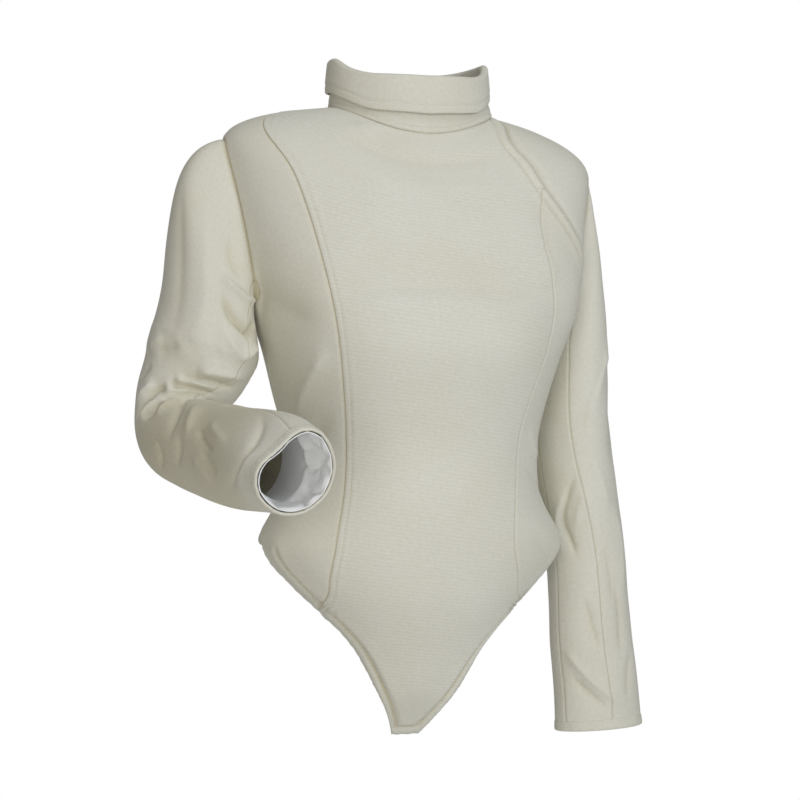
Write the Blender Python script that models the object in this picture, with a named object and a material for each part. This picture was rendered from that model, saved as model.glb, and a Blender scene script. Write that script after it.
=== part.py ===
"""Fencing jacket, worn form: a hollow body of sewn canvas panels with a bent right sleeve.

Frame: +Z up, the front faces -Y, the wearer's left is +X.  The origin is at the side of the neck,
level with the top of the shoulders.  Sizes are in millimetres until a mesh is made.

The body is one smooth form.  A point on it is P(angle, station): the angle goes round the wearer,
0 at the centre front, +90 at the left side and 180 at the centre back, and the station runs down
the rows of SECTIONS.  Every panel is a patch of the form between two seams, so that neighbours
share their edges.  Walls are lofted from an outer skin to an inner one along the form's normals,
which keeps the edges of two neighbours parallel across their gap.
"""

import math

import bpy
import numpy as np

MILLIMETRE = 0.001
CANVAS = 2.0              # wall of the doubled canvas
LINING = 1.0              # wall of the cuff lining
SEAM_GAP = 0.3            # room between neighbouring pieces
SLEEVE_SEAM_GAP = 0.45    # the sleeve's long seams twist, so their facets need a little more
FLAP_DROP = 5.0           # how far the left under front lies below the closing flap
CREAM = (0.61, 0.58, 0.49, 1.0)
WHITE = (0.72, 0.73, 0.74, 1.0)

# Stations either side that round a curve's bends, and their weights
ROUNDING = ((-0.44, 1 / 9), (-0.22, 2 / 9), (0.0, 3 / 9), (0.22, 2 / 9), (0.44, 1 / 9))

# ---------------------------------------------------------------- the body form
SECTION_COLUMNS = ("front_z", "side_z", "back_z", "half_width", "centre_y", "front", "back", "power")
SECTIONS = {
    "neck":       (-27, 0, 8, 79, 4, 64, 66, 2.0),
    "collarbone": (-45, -9, -14, 130, 4, 74, 76, 2.0),
    "shoulder":   (-75, -42, -68, 194, 4, 86, 90, 2.0),
    "chest":      (-120, -108, -118, 181, 2, 107, 98, 2.15),
    "armpit":     (-195, -195, -195, 163, 0, 125, 100, 2.4),
    "bust":       (-238, -238, -238, 148, 0, 130, 97, 2.4),
    "ribs":       (-288, -288, -288, 137, 0, 115, 90, 2.2),
    "waist":      (-338, -338, -338, 124, 0, 103, 85, 2.1),
    "high hip":   (-388, -388, -388, 133, 0, 108, 98, 2.1),
    "hip":        (-430, -430, -430, 155, 0, 104, 112, 2.1),
    "groin":      (-478, -478, -478, 117, -11, 84, 112, 2.1),
    "leg":        (-528, -528, -528, 68, -29, 40, 100, 2.1),
    "inner leg":  (-572, -572, -572, 43, -26, 20, 80, 2.1),
    "fork":       (-600, -600, -600, 26, -10, 8, 60, 2.1),
    "tip":        (-624, -624, -624, 14, 14, 2, 40, 2.0),
}
STATION = {name: index for index, name in enumerate(SECTIONS)}
SHOULDER_LEAN = 0.06      # rise of the right shoulder, and drop of the left, per mm of half width
LEAN_STARTS_TO_FADE = 1.6
LEAN_ENDS = 4.5           # station where the lean has died out

# Angles of the seams in degrees, a row per station, and how far the closing side bulges, in mm.
# The shoulder seams, the side seams and, below the hip, the leg hem lie at 90.
SEAM_COLUMNS = ("right_princess", "left_princess", "closing", "bulge")
SEAMS = {
    "neck":       (-90, 37, 84, 0),
    "collarbone": (-90, 37, 40, 0),
    "shoulder":   (-47, 37, 35, 0),
    "chest":      (-42, 35, 52, 3),
    "armpit":     (-38, 44, 90, 7),
    "bust":       (-40, 45, 90, 3),
    "ribs":       (-41, 42, 90, 1),
    "waist":      (-44, 43, 90, 5),
    "high hip":   (-43, 36, 90, 1),
    "hip":        (-39, 29, 90, 4),
    "groin":      (-57, 49, 90, 0),
    "leg":        (-90, 90, 90, 0),
}
PRINCESS_TOP = 1.0        # station where the right princess seam leaves the shoulder seam
PRINCESS_TURNS = 9.8      # station where the princess seams turn out to the leg hem
PRINCESS_END = 10.36      # station where they reach it
LEFT_PRINCESS_TOP = 2.3   # station where the left princess seam leaves the closing edge
TONGUE_FLATTENS = 10.6    # station from which the walls turn square to the tongue
FLAP_OVERLAP = 7.0        # degrees of the left under front beneath the closing flap
FLAP_RISE = 16.0          # degrees past the flap over which it rises to the form again
NARROWEST = 1.2           # degrees left of a panel where its seams run together
BULGE_START, BULGE_FULL, BULGE_ENDS = 42.0, 67.0, 79.0   # degrees round the left side

# The armhole, an upright loop round the side of the form.
ARMHOLE_TOP = 2.0
ARMHOLE_FOOT = 4.05
ARMHOLE_FRONT = 12.0      # degrees the loop reaches forward of the side
ARMHOLE_BACK = 25.0
ARMHOLE_FULLNESS = 0.72   # below 1 the loop is squarer than an ellipse
RING = 20                 # columns round a sleeve
HALF_RING = RING // 2

SLEEVE_COLUMNS = ("x", "y", "z", "across", "fore", "back")
RIGHT_SLEEVE = {
    "biceps":      (-208, 8, -236, 55, 54, 57),
    "above elbow": (-218, 9, -260, 52, 48, 54),
    "crook":       (-235, 6, -288, 41, 36, 53),
    "elbow":       (-239, -12, -315, 40, 34, 50),
    "below elbow": (-227, -52, -329, 44, 41, 46),
    "forearm":     (-205, -120, -340, 44, 47, 49),
    "wrist":       (-192, -195, -344, 40, 45, 45),
    "rim":         (-185, -240, -353, 36, 37, 37),
}
LEFT_SLEEVE = {
    "biceps":      (182, 24, -240, 34, 58, 58),
    "above elbow": (182, 25, -300, 39, 55, 55),
    "crook":       (184, 23, -350, 41, 51, 51),
    "elbow":       (191, 18, -400, 40, 47, 47),
    "below elbow": (197, 14, -460, 40, 42, 42),
    "forearm":     (200, 10, -530, 43, 37, 37),
    "wrist":       (205, 7, -585, 45, 34, 34),
    "rim":         (207, 6, -624, 46, 32, 32),
}
SLEEVE_SEAM_COLUMNS = ("fore", "inner", "back")
SLEEVE_SEAMS = {
    "armhole":     (135, 180, 270),
    "biceps":      (125, 172, 262),
    "above elbow": (120, 168, 258),
    "crook":       (112, 166, 256),
    "elbow":       (104, 164, 254),
    "below elbow": (97, 162, 254),
    "forearm":     (92, 160, 254),
    "wrist":       (88, 156, 254),
    "rim":         (85, 154, 254),
}
CAP_OUTWARD = {"right": 1.6, "left": 0.0}   # how far out the top of the sleeve head starts
CAP_FULLNESS = {"right": 1.1, "left": 1.0}   # how far the sleeve head swells
CAP_ROWS = 7              # rows from the armhole to the biceps
ARM_ROWS = {"right": 12, "left": 9}   # rows from the biceps to the cuff hem
CAP_LEAVES = {"sides": 0.3, "fore": -0.15, "foot": -0.95, "head": -0.3}   # way the cap leaves the seam
BODY_CLEARANCE = 3.0      # least room between a sleeve and the body
CLEARS_BELOW, CLEARS_TO = 12.0, 20.0      # mm over which that room fades in and, at the hem, out
CUFF_HEM = 11.0           # depth of the turned cuff hem
CUFF_WALL = 3.2           # the hem is folded cloth
CUFF_ROWS = ((0.0, 0.5), (0.35, 0.9), (0.75, 0.8), (1.0, -0.4))   # share of its depth, how far it stands
LINING_ROOM = 1.0         # between the cuff hem and the lining
LINING_FROM_RIM, LINING_TO = 0.06, 1.8    # where it starts and ends, in sleeve stations inside the rim
LINING_ROWS = 5

# ---------------------------------------------------------------- the neck
BAND_LEANS_IN = 1.5
BAND_UNDER_LEAF = 8.0     # how far the band runs up beneath the turned-over leaf
BAND_FREE_END = 80.0      # angle of the neckband's free end
BAND_LAP = 14.0           # degrees that the free end laps over the other end
BAND_FOOT_OUT = 2.0       # how far the foot of the band stands out
BAND_FLARE = 4.5          # how much further the lower corner of the free end stands off
BAND_SINKS = 2.6          # how far the lapped end passes beneath it
BAND_FLARES_OVER, BAND_SINKS_OVER = 60.0, 25.0   # degrees that each of the two takes
BAND_ROOM = 0.5           # between the foot of the band and the panels
BAND_COLUMNS = 29
BAND_ROWS = 3
COLLAR_COLUMN_NAMES = ("angle", "lower_z", "top_z")
COLLAR = {
    "front":      (0, -9, 29),
    "near front": (40, -5, 31),
    "turn":       (62, 6, 38),
    "side":       (85, 16, 51),
    "behind":     (130, 19, 46),
    "back":       (180, 20, 43),
}
LEAF_IN = -4.6            # the inner leaf, out from the neck seam
LEAF_OUT = 3.2            # the turned-over leaf at its fold
LEAF_FLARE = 1.4          # how much further its lower edge stands
FOLD_STEPS = 4
COLLAR_COLUMNS = 27
LEAF_ROOM = 1.2           # between the band's top and the inner leaf
COLLAR_SLIT = 92.0        # angle of the collar's opening
COLLAR_SLIT_WIDTH = 1.0   # degrees


# ---------------------------------------------------------------- curves and forms
def column(table, columns, name):
    """One named column of a table, as an array."""
    index = columns.index(name)
    return np.array([row[index] for row in table.values()], dtype=float)


def monotone(values, at):
    """Curve through values at stations 0, 1, 2, ... that never overshoots them."""
    steps = np.diff(values)
    slopes = np.zeros_like(values)
    before, after = steps[:-1], steps[1:]
    runs_on = before * after > 0
    middle = np.zeros_like(before)
    middle[runs_on] = 2 * before[runs_on] * after[runs_on] / (before[runs_on] + after[runs_on])
    slopes[1:-1] = middle
    slopes[0], slopes[-1] = steps[0], steps[-1]
    low = np.minimum(at.astype(int), len(values) - 2)
    part = at - low
    return ((2 * part**3 - 3 * part**2 + 1) * values[low]
            + (part**3 - 2 * part**2 + part) * slopes[low]
            + (3 * part**2 - 2 * part**3) * values[low + 1]
            + (part**3 - part**2) * slopes[low + 1])


def glide(values, at):
    """The monotone curve with its bends rounded, which keeps its two end values."""
    values = np.asarray(values, dtype=float)
    last = len(values) - 1
    at = np.clip(np.asarray(at, dtype=float), 0, last)
    total = 0
    for shift, weight in ROUNDING:
        place = at + shift
        folded = np.where(place > last, 2 * last - place, np.abs(place))
        inside = monotone(values, folded)
        inside = np.where(place < 0, 2 * values[0] - inside, inside)
        total = total + weight * np.where(place > last, 2 * values[-1] - inside, inside)
    return total


def ease(value):
    """Smooth step from 0 at 0 to 1 at 1."""
    value = np.clip(value, 0, 1)
    return value * value * (3 - 2 * value)


def unit(vectors):
    """Vectors scaled to length 1."""
    return vectors / np.maximum(np.linalg.norm(vectors, axis=-1, keepdims=True), 1e-9)


def body_point(angle, station):
    """Points on the body form at these angles (degrees) and stations."""
    turn = np.radians(angle)
    at = {name: glide(column(SECTIONS, SECTION_COLUMNS, name), station) for name in SECTION_COLUMNS}
    sine, cosine = np.sin(turn), np.cos(turn)
    sharpness = 2 / at["power"]
    depth = np.where(cosine > 0, at["front"], at["back"])
    end_z = np.where(cosine > 0, at["front_z"], at["back_z"])
    x = at["half_width"] * np.sign(sine) * np.abs(sine) ** sharpness
    y = at["centre_y"] - depth * np.sign(cosine) * np.abs(cosine) ** sharpness
    z = at["side_z"] + (end_z - at["side_z"]) * cosine**2
    lean = ease((LEAN_ENDS - station) / (LEAN_ENDS - LEAN_STARTS_TO_FADE))
    lean = lean * SHOULDER_LEAN * x * np.abs(x) / SECTIONS["shoulder"][3]
    return np.stack(np.broadcast_arrays(x, y, z - lean), axis=-1)


def body_normal(angle, station):
    """Outward unit normals of the body form."""
    small_turn, small_step = 0.5, 0.01
    last = len(SECTIONS) - 1
    upper = np.clip(station - small_step, 0, last)
    lower = np.clip(station + small_step, 0, last)
    across = body_point(angle + small_turn, station) - body_point(angle - small_turn, station)
    down = body_point(angle, lower) - body_point(angle, upper)
    return unit(np.cross(down, across))


def wall_direction(angle, station):
    """The form's normals, turned square to the narrow tongue towards its tip."""
    flat = ease((station - TONGUE_FLATTENS) / (STATION["tip"] - TONGUE_FLATTENS))[..., None]
    middle = body_normal(np.zeros_like(angle), station)
    return unit(body_normal(angle, station) * (1 - flat) + middle * flat)


def section_radius(points):
    """How far out each point lies at its height: 1 is on the body form, more is outside."""
    heights = column(SECTIONS, SECTION_COLUMNS, "side_z")
    station = np.interp(-points[..., 2], -heights, np.arange(len(heights)))
    at = {name: glide(column(SECTIONS, SECTION_COLUMNS, name), station) for name in SECTION_COLUMNS}
    aside = points[..., 1] - at["centre_y"]
    depth = np.where(aside < 0, at["front"], at["back"])
    power = at["power"]
    reach = np.abs(points[..., 0] / at["half_width"]) ** power + np.abs(aside / depth) ** power
    return reach ** (1 / power), at["half_width"], at["centre_y"]


def clear_of_body(points):
    """Points below the armpit moved out until they clear the body form."""
    radius, half_width, centre_y = section_radius(points)
    wanted = 1 + BODY_CLEARANCE / half_width
    below = ease((SECTIONS["armpit"][1] - points[..., 2]) / CLEARS_BELOW)
    above_hem = ease((points[..., 2] - SECTIONS["hip"][1]) / CLEARS_TO + 1.25)
    grow = 1 + np.maximum(wanted / radius - 1, 0) * below * above_hem
    moved = points.copy()
    moved[..., 0] = points[..., 0] * grow
    moved[..., 1] = centre_y + (points[..., 1] - centre_y) * grow
    return moved


def seam_angle(name, station):
    """Angle of a named seam at these stations."""
    angle = glide(column(SEAMS, SEAM_COLUMNS, name), station)
    if name == "closing":
        return angle
    turned = np.clip((station - PRINCESS_TURNS) / (PRINCESS_END - PRINCESS_TURNS), 0, 1) ** 3
    between = (station > PRINCESS_TOP - 0.01) & (station < PRINCESS_END + 0.01)
    furthest = np.where(between, 90 - NARROWEST, 90)
    angle = angle + (np.sign(angle) * 90 - angle) * turned
    return np.clip(angle, -furthest, furthest)


def side_bulge(angle, station):
    """How far the closing side stands off the form, in mm."""
    rise = ease((angle - BULGE_START) / (BULGE_FULL - BULGE_START))
    fall = ease((BULGE_ENDS - angle) / (BULGE_ENDS - BULGE_FULL))
    return glide(column(SEAMS, SEAM_COLUMNS, "bulge"), station) * rise * fall


def armhole(turn):
    """Angle and station of the left armhole at a turn: 0 at the top, pi at the foot, then the back."""
    middle = (ARMHOLE_TOP + ARMHOLE_FOOT) / 2
    reach = (ARMHOLE_FOOT - ARMHOLE_TOP) / 2
    across = np.sign(np.sin(turn)) * np.abs(np.sin(turn)) ** ARMHOLE_FULLNESS
    angle = 90 - np.where(across > 0, ARMHOLE_FRONT, ARMHOLE_BACK) * across
    return angle, middle - reach * np.cos(turn)


# ---------------------------------------------------------------- meshes
def add_node(name, outer, inner, material, ring=False):
    """One closed wall between two skins of points, given row by row, ring for a closed tube.

    Every four corners are split along the same diagonal, so that facing edges stay parallel.
    """
    rows, columns = outer.shape[:2]
    count = rows * columns
    points = np.concatenate([outer.reshape(-1, 3), inner.reshape(-1, 3)]) * MILLIMETRE
    spans = columns if ring else columns - 1
    faces = []

    def corner(skin, row, col):
        return skin * count + row * columns + col % columns

    def quad(first, second, third, fourth):
        faces.append((first, second, third))
        faces.append((first, third, fourth))

    for row in range(rows - 1):
        for col in range(spans):
            quad(corner(0, row, col), corner(0, row + 1, col),
                 corner(0, row + 1, col + 1), corner(0, row, col + 1))
            quad(corner(1, row, col), corner(1, row, col + 1),
                 corner(1, row + 1, col + 1), corner(1, row + 1, col))
    for col in range(spans):
        quad(corner(0, 0, col), corner(0, 0, col + 1), corner(1, 0, col + 1), corner(1, 0, col))
        quad(corner(0, rows - 1, col + 1), corner(0, rows - 1, col),
             corner(1, rows - 1, col), corner(1, rows - 1, col + 1))
    if not ring:
        for row in range(rows - 1):
            quad(corner(0, row, 0), corner(1, row, 0), corner(1, row + 1, 0), corner(0, row + 1, 0))
            quad(corner(0, row, columns - 1), corner(0, row + 1, columns - 1),
                 corner(1, row + 1, columns - 1), corner(1, row, columns - 1))

    mesh = bpy.data.meshes.new(name)
    mesh.from_pydata(points.tolist(), [], faces)
    mesh.shade_smooth()
    mesh.set_sharp_from_angle(angle=math.radians(50))
    mesh.materials.append(material)
    node = bpy.data.objects.new(name, mesh)
    PARTS.objects.link(node)
    return node


def grid_normals(skin, ring=False):
    """Unit normals of a grid of points, to the left of its rows as they run down."""
    down = np.gradient(skin, axis=0)
    if ring:
        across = np.roll(skin, -1, axis=1) - np.roll(skin, 1, axis=1)
    else:
        across = np.gradient(skin, axis=1)
    return unit(np.cross(down, across))


def panel(name, stations, start, end, columns, stands=None):
    """A body panel between two seams, start and end in degrees at each station.

    stands, where given, tells how far each of its points stands off the form.
    """
    share = np.linspace(0, 1, columns)
    angle = start[:, None] + (end - start)[:, None] * share
    station = np.repeat(stations[:, None], columns, axis=1)
    normal = wall_direction(angle, station)
    outer = body_point(angle, station)
    if stands is not None:
        outer = outer + normal * stands(angle, station)[..., None]
    return add_node(name, outer, outer - normal * CANVAS, CANVAS_MATERIAL)


def half_gap(angle, station):
    """Half a seam gap along a seam of these angles and stations, in degrees round the form."""
    degree = np.linalg.norm(body_point(angle + 0.5, station) - body_point(angle - 0.5, station), axis=-1)
    step = body_point(angle, station + 0.01) - body_point(angle, station - 0.01)
    down = np.linalg.norm(step, axis=-1) / 0.02
    slopes = np.abs(np.diff(angle) / np.diff(station))
    steepest = np.maximum(np.append(slopes, 0), np.append(0, slopes))
    slant = steepest * degree / np.maximum(down, 1)
    return SEAM_GAP / 2 * np.sqrt(1 + slant**2) / np.maximum(degree, 0.05)


# ---------------------------------------------------------------- the panels
def body_stations():
    """Stations of the rows shared by the panels, down to the hip and then along the leg hem."""
    above = np.array([0, 0.4, 0.75, PRINCESS_TOP, 1.3, 1.65])
    along = armhole(np.linspace(0, math.pi, HALF_RING + 1))[1]
    below = np.array([4.5, 5.0, 5.6, 6.3, 7.0, 7.7, 8.35, 8.7, 9.0])
    leg = np.array([9.3, 9.55, PRINCESS_TURNS, 9.95, 10.07, 10.17, 10.26, PRINCESS_END,
                    10.7, 11.2, 11.9, 12.6, 13.3, 14.0])
    return np.concatenate([above, along, below]), leg


def outer_edge(stations, side, front):
    """Angle of a panel's outer edge: shoulder seam, armhole, side seam and leg hem (side is +-1)."""
    middle = (ARMHOLE_TOP + ARMHOLE_FOOT) / 2
    reach = (ARMHOLE_FOOT - ARMHOLE_TOP) / 2
    turn = np.arccos(np.clip((middle - stations) / reach, -1, 1))
    angle, _ = armhole(turn if front else -turn)
    gap = half_gap(np.full_like(stations, 90.0), stations)
    straight = np.where(front, 90 - gap, 90 + gap)
    at_hole = (stations > ARMHOLE_TOP + 0.01) & (stations < ARMHOLE_FOOT - 0.01)
    return side * np.where(at_hole, angle, straight)


def under_front_stands(angle, station):
    """The left under front lies deep beneath the closing flap and rises to the form beyond it."""
    past = angle - seam_angle("closing", station)
    return side_bulge(angle, station) - FLAP_DROP * (1 - ease((past - 2) / FLAP_RISE))


def make_body_panels():
    """The body: front, two side fronts, the left under front and two backs."""
    upper_rows, leg_rows = body_stations()
    all_rows = np.concatenate([upper_rows, leg_rows])
    to_hem = all_rows[all_rows < PRINCESS_END + 0.01]

    right = seam_angle("right_princess", all_rows)
    right = np.where(all_rows < PRINCESS_TOP - 0.01, -90, right)
    right = right + half_gap(right, all_rows)
    left = np.where(all_rows < LEFT_PRINCESS_TOP, seam_angle("closing", all_rows),
                    seam_angle("left_princess", all_rows))
    left = left - half_gap(left, all_rows)
    panel("front_panel", all_rows, right, left, 11, side_bulge)

    rows = to_hem[to_hem > PRINCESS_TOP - 0.01]
    edge = outer_edge(rows, -1, True)
    seam = seam_angle("right_princess", rows)
    panel("side_front_right", rows, edge, seam - half_gap(seam, rows), 6)

    rows = to_hem[to_hem > LEFT_PRINCESS_TOP]
    seam = seam_angle("left_princess", rows)
    edge = np.minimum(seam_angle("closing", rows), outer_edge(rows, 1, True))
    panel("side_front_left", rows, seam + half_gap(seam, rows), edge, 9, side_bulge)

    edge = outer_edge(upper_rows, 1, True)
    inner_edge = np.minimum(seam_angle("closing", upper_rows), edge) - FLAP_OVERLAP
    panel("under_front_left", upper_rows, inner_edge, edge, 5, under_front_stands)

    middle = 180 - half_gap(np.full_like(upper_rows, 180.0), upper_rows)
    panel("back_right", upper_rows, -middle, outer_edge(upper_rows, -1, False), 7)
    panel("back_left", upper_rows, outer_edge(upper_rows, 1, False), middle, 7)


# ---------------------------------------------------------------- the sleeves
def armhole_ring(side, turns):
    """Armhole points, the body's normals there and the way each faces into the hole."""
    angle, station = armhole(turns)
    points = body_point(side * angle, station)
    normals = body_normal(side * angle, station)
    along = np.roll(points, -1, axis=0) - np.roll(points, 1, axis=0)
    inward = unit(np.cross(normals, along))
    centre = points.mean(axis=0)
    inward = inward * np.sign(np.sum(inward * (centre - points), axis=-1))[:, None]
    return points, normals, inward


def arm_frames(table, steps):
    """Centres, outward and forward axes and half sizes of the arm's sections at these steps."""
    at = {name: glide(column(table, SLEEVE_COLUMNS, name), steps) for name in SLEEVE_COLUMNS}
    centre = np.stack([at["x"], at["y"], at["z"]], axis=-1)
    ahead = {name: glide(column(table, SLEEVE_COLUMNS, name), steps + 0.05) for name in "xyz"}
    behind = {name: glide(column(table, SLEEVE_COLUMNS, name), steps - 0.05) for name in "xyz"}
    run = unit(np.stack([ahead[name] - behind[name] for name in "xyz"], axis=-1))
    sideways = np.array([1.0, 0, 0])
    sideways = unit(sideways - run * (run @ sideways)[:, None])
    forward = np.cross(run, sideways)
    return centre, sideways, forward, at["across"], at["fore"], at["back"], run


def square_to(run, vectors):
    """Unit vectors with their part along the run taken out, so that an end face is flat."""
    return unit(vectors - run * np.sum(vectors * run, axis=-1, keepdims=True))


def arm_section(side, frames, row, turns):
    """Points of one section of the arm."""
    centre, sideways, forward, across, fore, back, _ = frames
    through = np.where(np.sin(turns) > 0, fore[row], back[row]) * np.sin(turns)
    return (centre[row] + side * sideways[row] * (across[row] * np.cos(turns))[:, None]
            + forward[row] * through[:, None])


def sleeve_skin(side, name, table, turns, steps):
    """Outer skin and normals of a sleeve, a row per step: below 0 the cap, above 0 the arm."""
    points, body_normals, inward = armhole_ring(side, turns)
    start = points + inward * SEAM_GAP
    frames = arm_frames(table, np.maximum(steps, 0))
    run = frames[-1]
    first = arm_section(side, frames, int(np.argmin(np.abs(steps))), turns)
    height = (1 + np.cos(turns)) / 2
    outward = CAP_LEAVES["sides"] * (1 - height) + CAP_OUTWARD[name] * height
    downward = CAP_LEAVES["foot"] * (1 - height) + CAP_LEAVES["head"] * height
    leave = unit(np.stack([side * outward, CAP_LEAVES["fore"] * np.sin(turns), downward], axis=-1))
    fullness = (1 + (CAP_FULLNESS[name] - 1) * height)[:, None]
    reach = np.linalg.norm(first - start, axis=-1)[:, None]
    skin = []
    for row, step in enumerate(steps):
        if step >= 0:
            skin.append(arm_section(side, frames, row, turns))
            continue
        part = 1 + step
        skin.append((2 * part**3 - 3 * part**2 + 1) * start
                    + (part**3 - 2 * part**2 + part) * leave * fullness * reach
                    + (3 * part**2 - 2 * part**3) * first
                    + (part**3 - part**2) * run[0] * reach)
    skin = clear_of_body(np.array(skin))
    skin[0] = start
    normals = -side * grid_normals(skin, ring=True)
    agree = ease((np.sum(normals[0] * body_normals, axis=-1) - 0.1) / 0.6)[:, None]
    normals[0] = unit(normals[0] * (1 - agree) + body_normals * agree)
    normals[-1] = square_to(run[-1], normals[-1])
    return skin, normals


def arm_tube(side, table, turns, steps):
    """Points and outward normals of plain arm sections, a row per step."""
    frames = arm_frames(table, steps)
    tube = np.array([arm_section(side, frames, row, turns) for row in range(len(steps))])
    runs = frames[-1][:, None, :]
    return tube, square_to(runs, -side * grid_normals(tube, ring=True))


def round_the_ring(skin, turn):
    """Points of one row of a tube at turns that may lie between its columns."""
    place = (turn % (2 * math.pi)) / (2 * math.pi) * RING
    low = np.floor(place).astype(int) % RING
    part = (place - np.floor(place))[:, None]
    return skin[low] * (1 - part) + skin[(low + 1) % RING] * part


def ring_gap(skins, row, turn):
    """Half a seam gap at this turn of a row, as an angle, where the narrower skin needs it."""
    low = int(turn % (2 * math.pi) / (2 * math.pi) * RING) % RING
    span = min(math.dist(skin[row][low], skin[row][(low + 1) % RING]) for skin in skins)
    return SLEEVE_SEAM_GAP / 2 / max(span, 1.0) * 2 * math.pi / RING


def sleeve_piece(piece_name, side, steps, skins, seams, columns):
    """One piece of a sleeve, from its first seam round to its second."""
    shares = np.linspace(0, 1, columns)
    first = np.radians(glide(column(SLEEVE_SEAMS, SLEEVE_SEAM_COLUMNS, seams[0]), steps + 1))
    last = np.radians(glide(column(SLEEVE_SEAMS, SLEEVE_SEAM_COLUMNS, seams[1]), steps + 1))
    last = np.where(last < first, last + 2 * math.pi, last)
    outer, inner = [], []
    for row in range(len(steps)):
        start = first[row] + ring_gap(skins, row, first[row])
        end = last[row] - ring_gap(skins, row, last[row])
        turn = start + (end - start) * shares
        outer.append(round_the_ring(skins[0][row], turn))
        inner.append(round_the_ring(skins[1][row], turn))
    outer, inner = np.array(outer)[:, ::-side], np.array(inner)[:, ::-side]
    add_node(piece_name, outer, inner, CANVAS_MATERIAL)


def make_sleeve(side, name, table):
    """Three sleeve pieces and the turned cuff hem."""
    turns = np.linspace(0, 2 * math.pi, RING, endpoint=False)
    rim = len(table) - 1
    wrist_to_rim = math.dist(table["wrist"][:3], table["rim"][:3])
    hem_start = rim - CUFF_HEM / wrist_to_rim
    steps = np.concatenate([np.linspace(-1, 0, CAP_ROWS), np.linspace(0, hem_start, ARM_ROWS[name])[1:]])
    ring, normals = sleeve_skin(side, name, table, turns, steps)
    skins = (ring, ring - normals * CANVAS)
    sleeve_piece(f"sleeve_{name}_outer", side, steps, skins, ("back", "fore"), 11)
    sleeve_piece(f"sleeve_{name}_fore", side, steps, skins, ("fore", "inner"), 5)
    sleeve_piece(f"sleeve_{name}_under", side, steps, skins, ("inner", "back"), 7)

    start = hem_start + SEAM_GAP / wrist_to_rim
    shares = np.array([share for share, _ in CUFF_ROWS])
    stands = np.array([height for _, height in CUFF_ROWS])[:, None, None]
    hem, hem_normals = arm_tube(side, table, turns, start + (rim - start) * shares)
    outer, inner = hem + hem_normals * stands, hem + hem_normals * (stands.mean() - CUFF_WALL)
    add_node(f"cuff_hem_{name}", outer[:, ::-side], inner[:, ::-side], CANVAS_MATERIAL, ring=True)


def make_cuff_lining():
    """The white lining that shows inside the open right cuff."""
    turns = np.linspace(0, 2 * math.pi, RING, endpoint=False)
    rim = len(RIGHT_SLEEVE) - 1
    steps = np.linspace(rim - LINING_TO, rim - LINING_FROM_RIM, LINING_ROWS)
    tube, normals = arm_tube(-1, RIGHT_SLEEVE, turns, steps)
    outer = tube - normals * (CUFF_WALL + LINING_ROOM)
    add_node("cuff_lining_right", outer, outer - normals * LINING, LINING_MATERIAL, ring=True)


# ---------------------------------------------------------------- the neck
def neck_point(angle, out, z):
    """Points round the neck, out from the neck seam, at height z."""
    half_width, centre_y, front, back = SECTIONS["neck"][3:7]
    turn = np.radians(angle)
    depth = np.where(np.cos(turn) > 0, front, back)
    x = (half_width + out) * np.sin(turn)
    y = centre_y - (depth + out) * np.cos(turn)
    return np.stack(np.broadcast_arrays(x, y, z), axis=-1)


def collar_height(name, angle):
    """Height of the collar's lower or top edge at these angles."""
    around = np.abs((angle + 180) % 360 - 180)
    stations = np.interp(around, column(COLLAR, COLLAR_COLUMN_NAMES, "angle"), np.arange(len(COLLAR)))
    return glide(column(COLLAR, COLLAR_COLUMN_NAMES, name), stations)


def make_neckband():
    """A band round the neck whose free end laps over its other end on the left."""
    angle = np.linspace(BAND_FREE_END - 360 - BAND_LAP, BAND_FREE_END, BAND_COLUMNS)
    from_free_end = BAND_FREE_END - angle
    from_lapped_end = angle - angle[0]
    flare = BAND_FLARE * (1 - ease(from_free_end / BAND_FLARES_OVER))
    sink = BAND_SINKS * (1 - ease((from_lapped_end - BAND_LAP) / BAND_SINKS_OVER))
    foot = body_point(angle, np.zeros_like(angle))[..., 2] + BAND_ROOM
    head = collar_height("lower_z", angle) + BAND_UNDER_LEAF
    outer, inner = [], []
    for share in np.linspace(1, 0, BAND_ROWS):
        out = (BAND_FOOT_OUT + flare) * (1 - share) - sink - BAND_LEANS_IN * share
        height = foot + (head - foot) * share
        outer.append(neck_point(angle, out, height))
        inner.append(neck_point(angle, out - CANVAS, height))
    add_node("neckband", np.array(outer), np.array(inner), CANVAS_MATERIAL)


def make_collar():
    """The collar, turned over its fold: an inner leaf, a round fold and an outer leaf."""
    slit = COLLAR_SLIT_WIDTH / 2
    angle = np.linspace(COLLAR_SLIT + slit - 360, COLLAR_SLIT - slit, COLLAR_COLUMNS)
    lower, top = collar_height("lower_z", angle), collar_height("top_z", angle)
    radius = (LEAF_OUT - LEAF_IN) / 2
    middle = (LEAF_OUT + LEAF_IN) / 2
    foot = lower + BAND_UNDER_LEAF + LEAF_ROOM
    fold_z = top - radius
    rows = [(LEAF_IN, foot, LEAF_IN + CANVAS, foot)]
    for turn in np.linspace(math.pi, 0, FOLD_STEPS):
        out, rise = math.cos(turn), math.sin(turn)
        rows.append((middle + radius * out, fold_z + radius * rise,
                     middle + (radius - CANVAS) * out, fold_z + (radius - CANVAS) * rise))
    for share, flare in ((0.5, 0.4), (1.0, LEAF_FLARE)):
        height = fold_z + (lower - fold_z) * share
        rows.append((LEAF_OUT + flare, height, LEAF_OUT + flare - CANVAS, height))
    outer = np.array([neck_point(angle, out, z) for out, z, _, _ in rows])
    inner = np.array([neck_point(angle, out, z) for _, _, out, z in rows])
    add_node("collar", outer, inner, CANVAS_MATERIAL)


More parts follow.
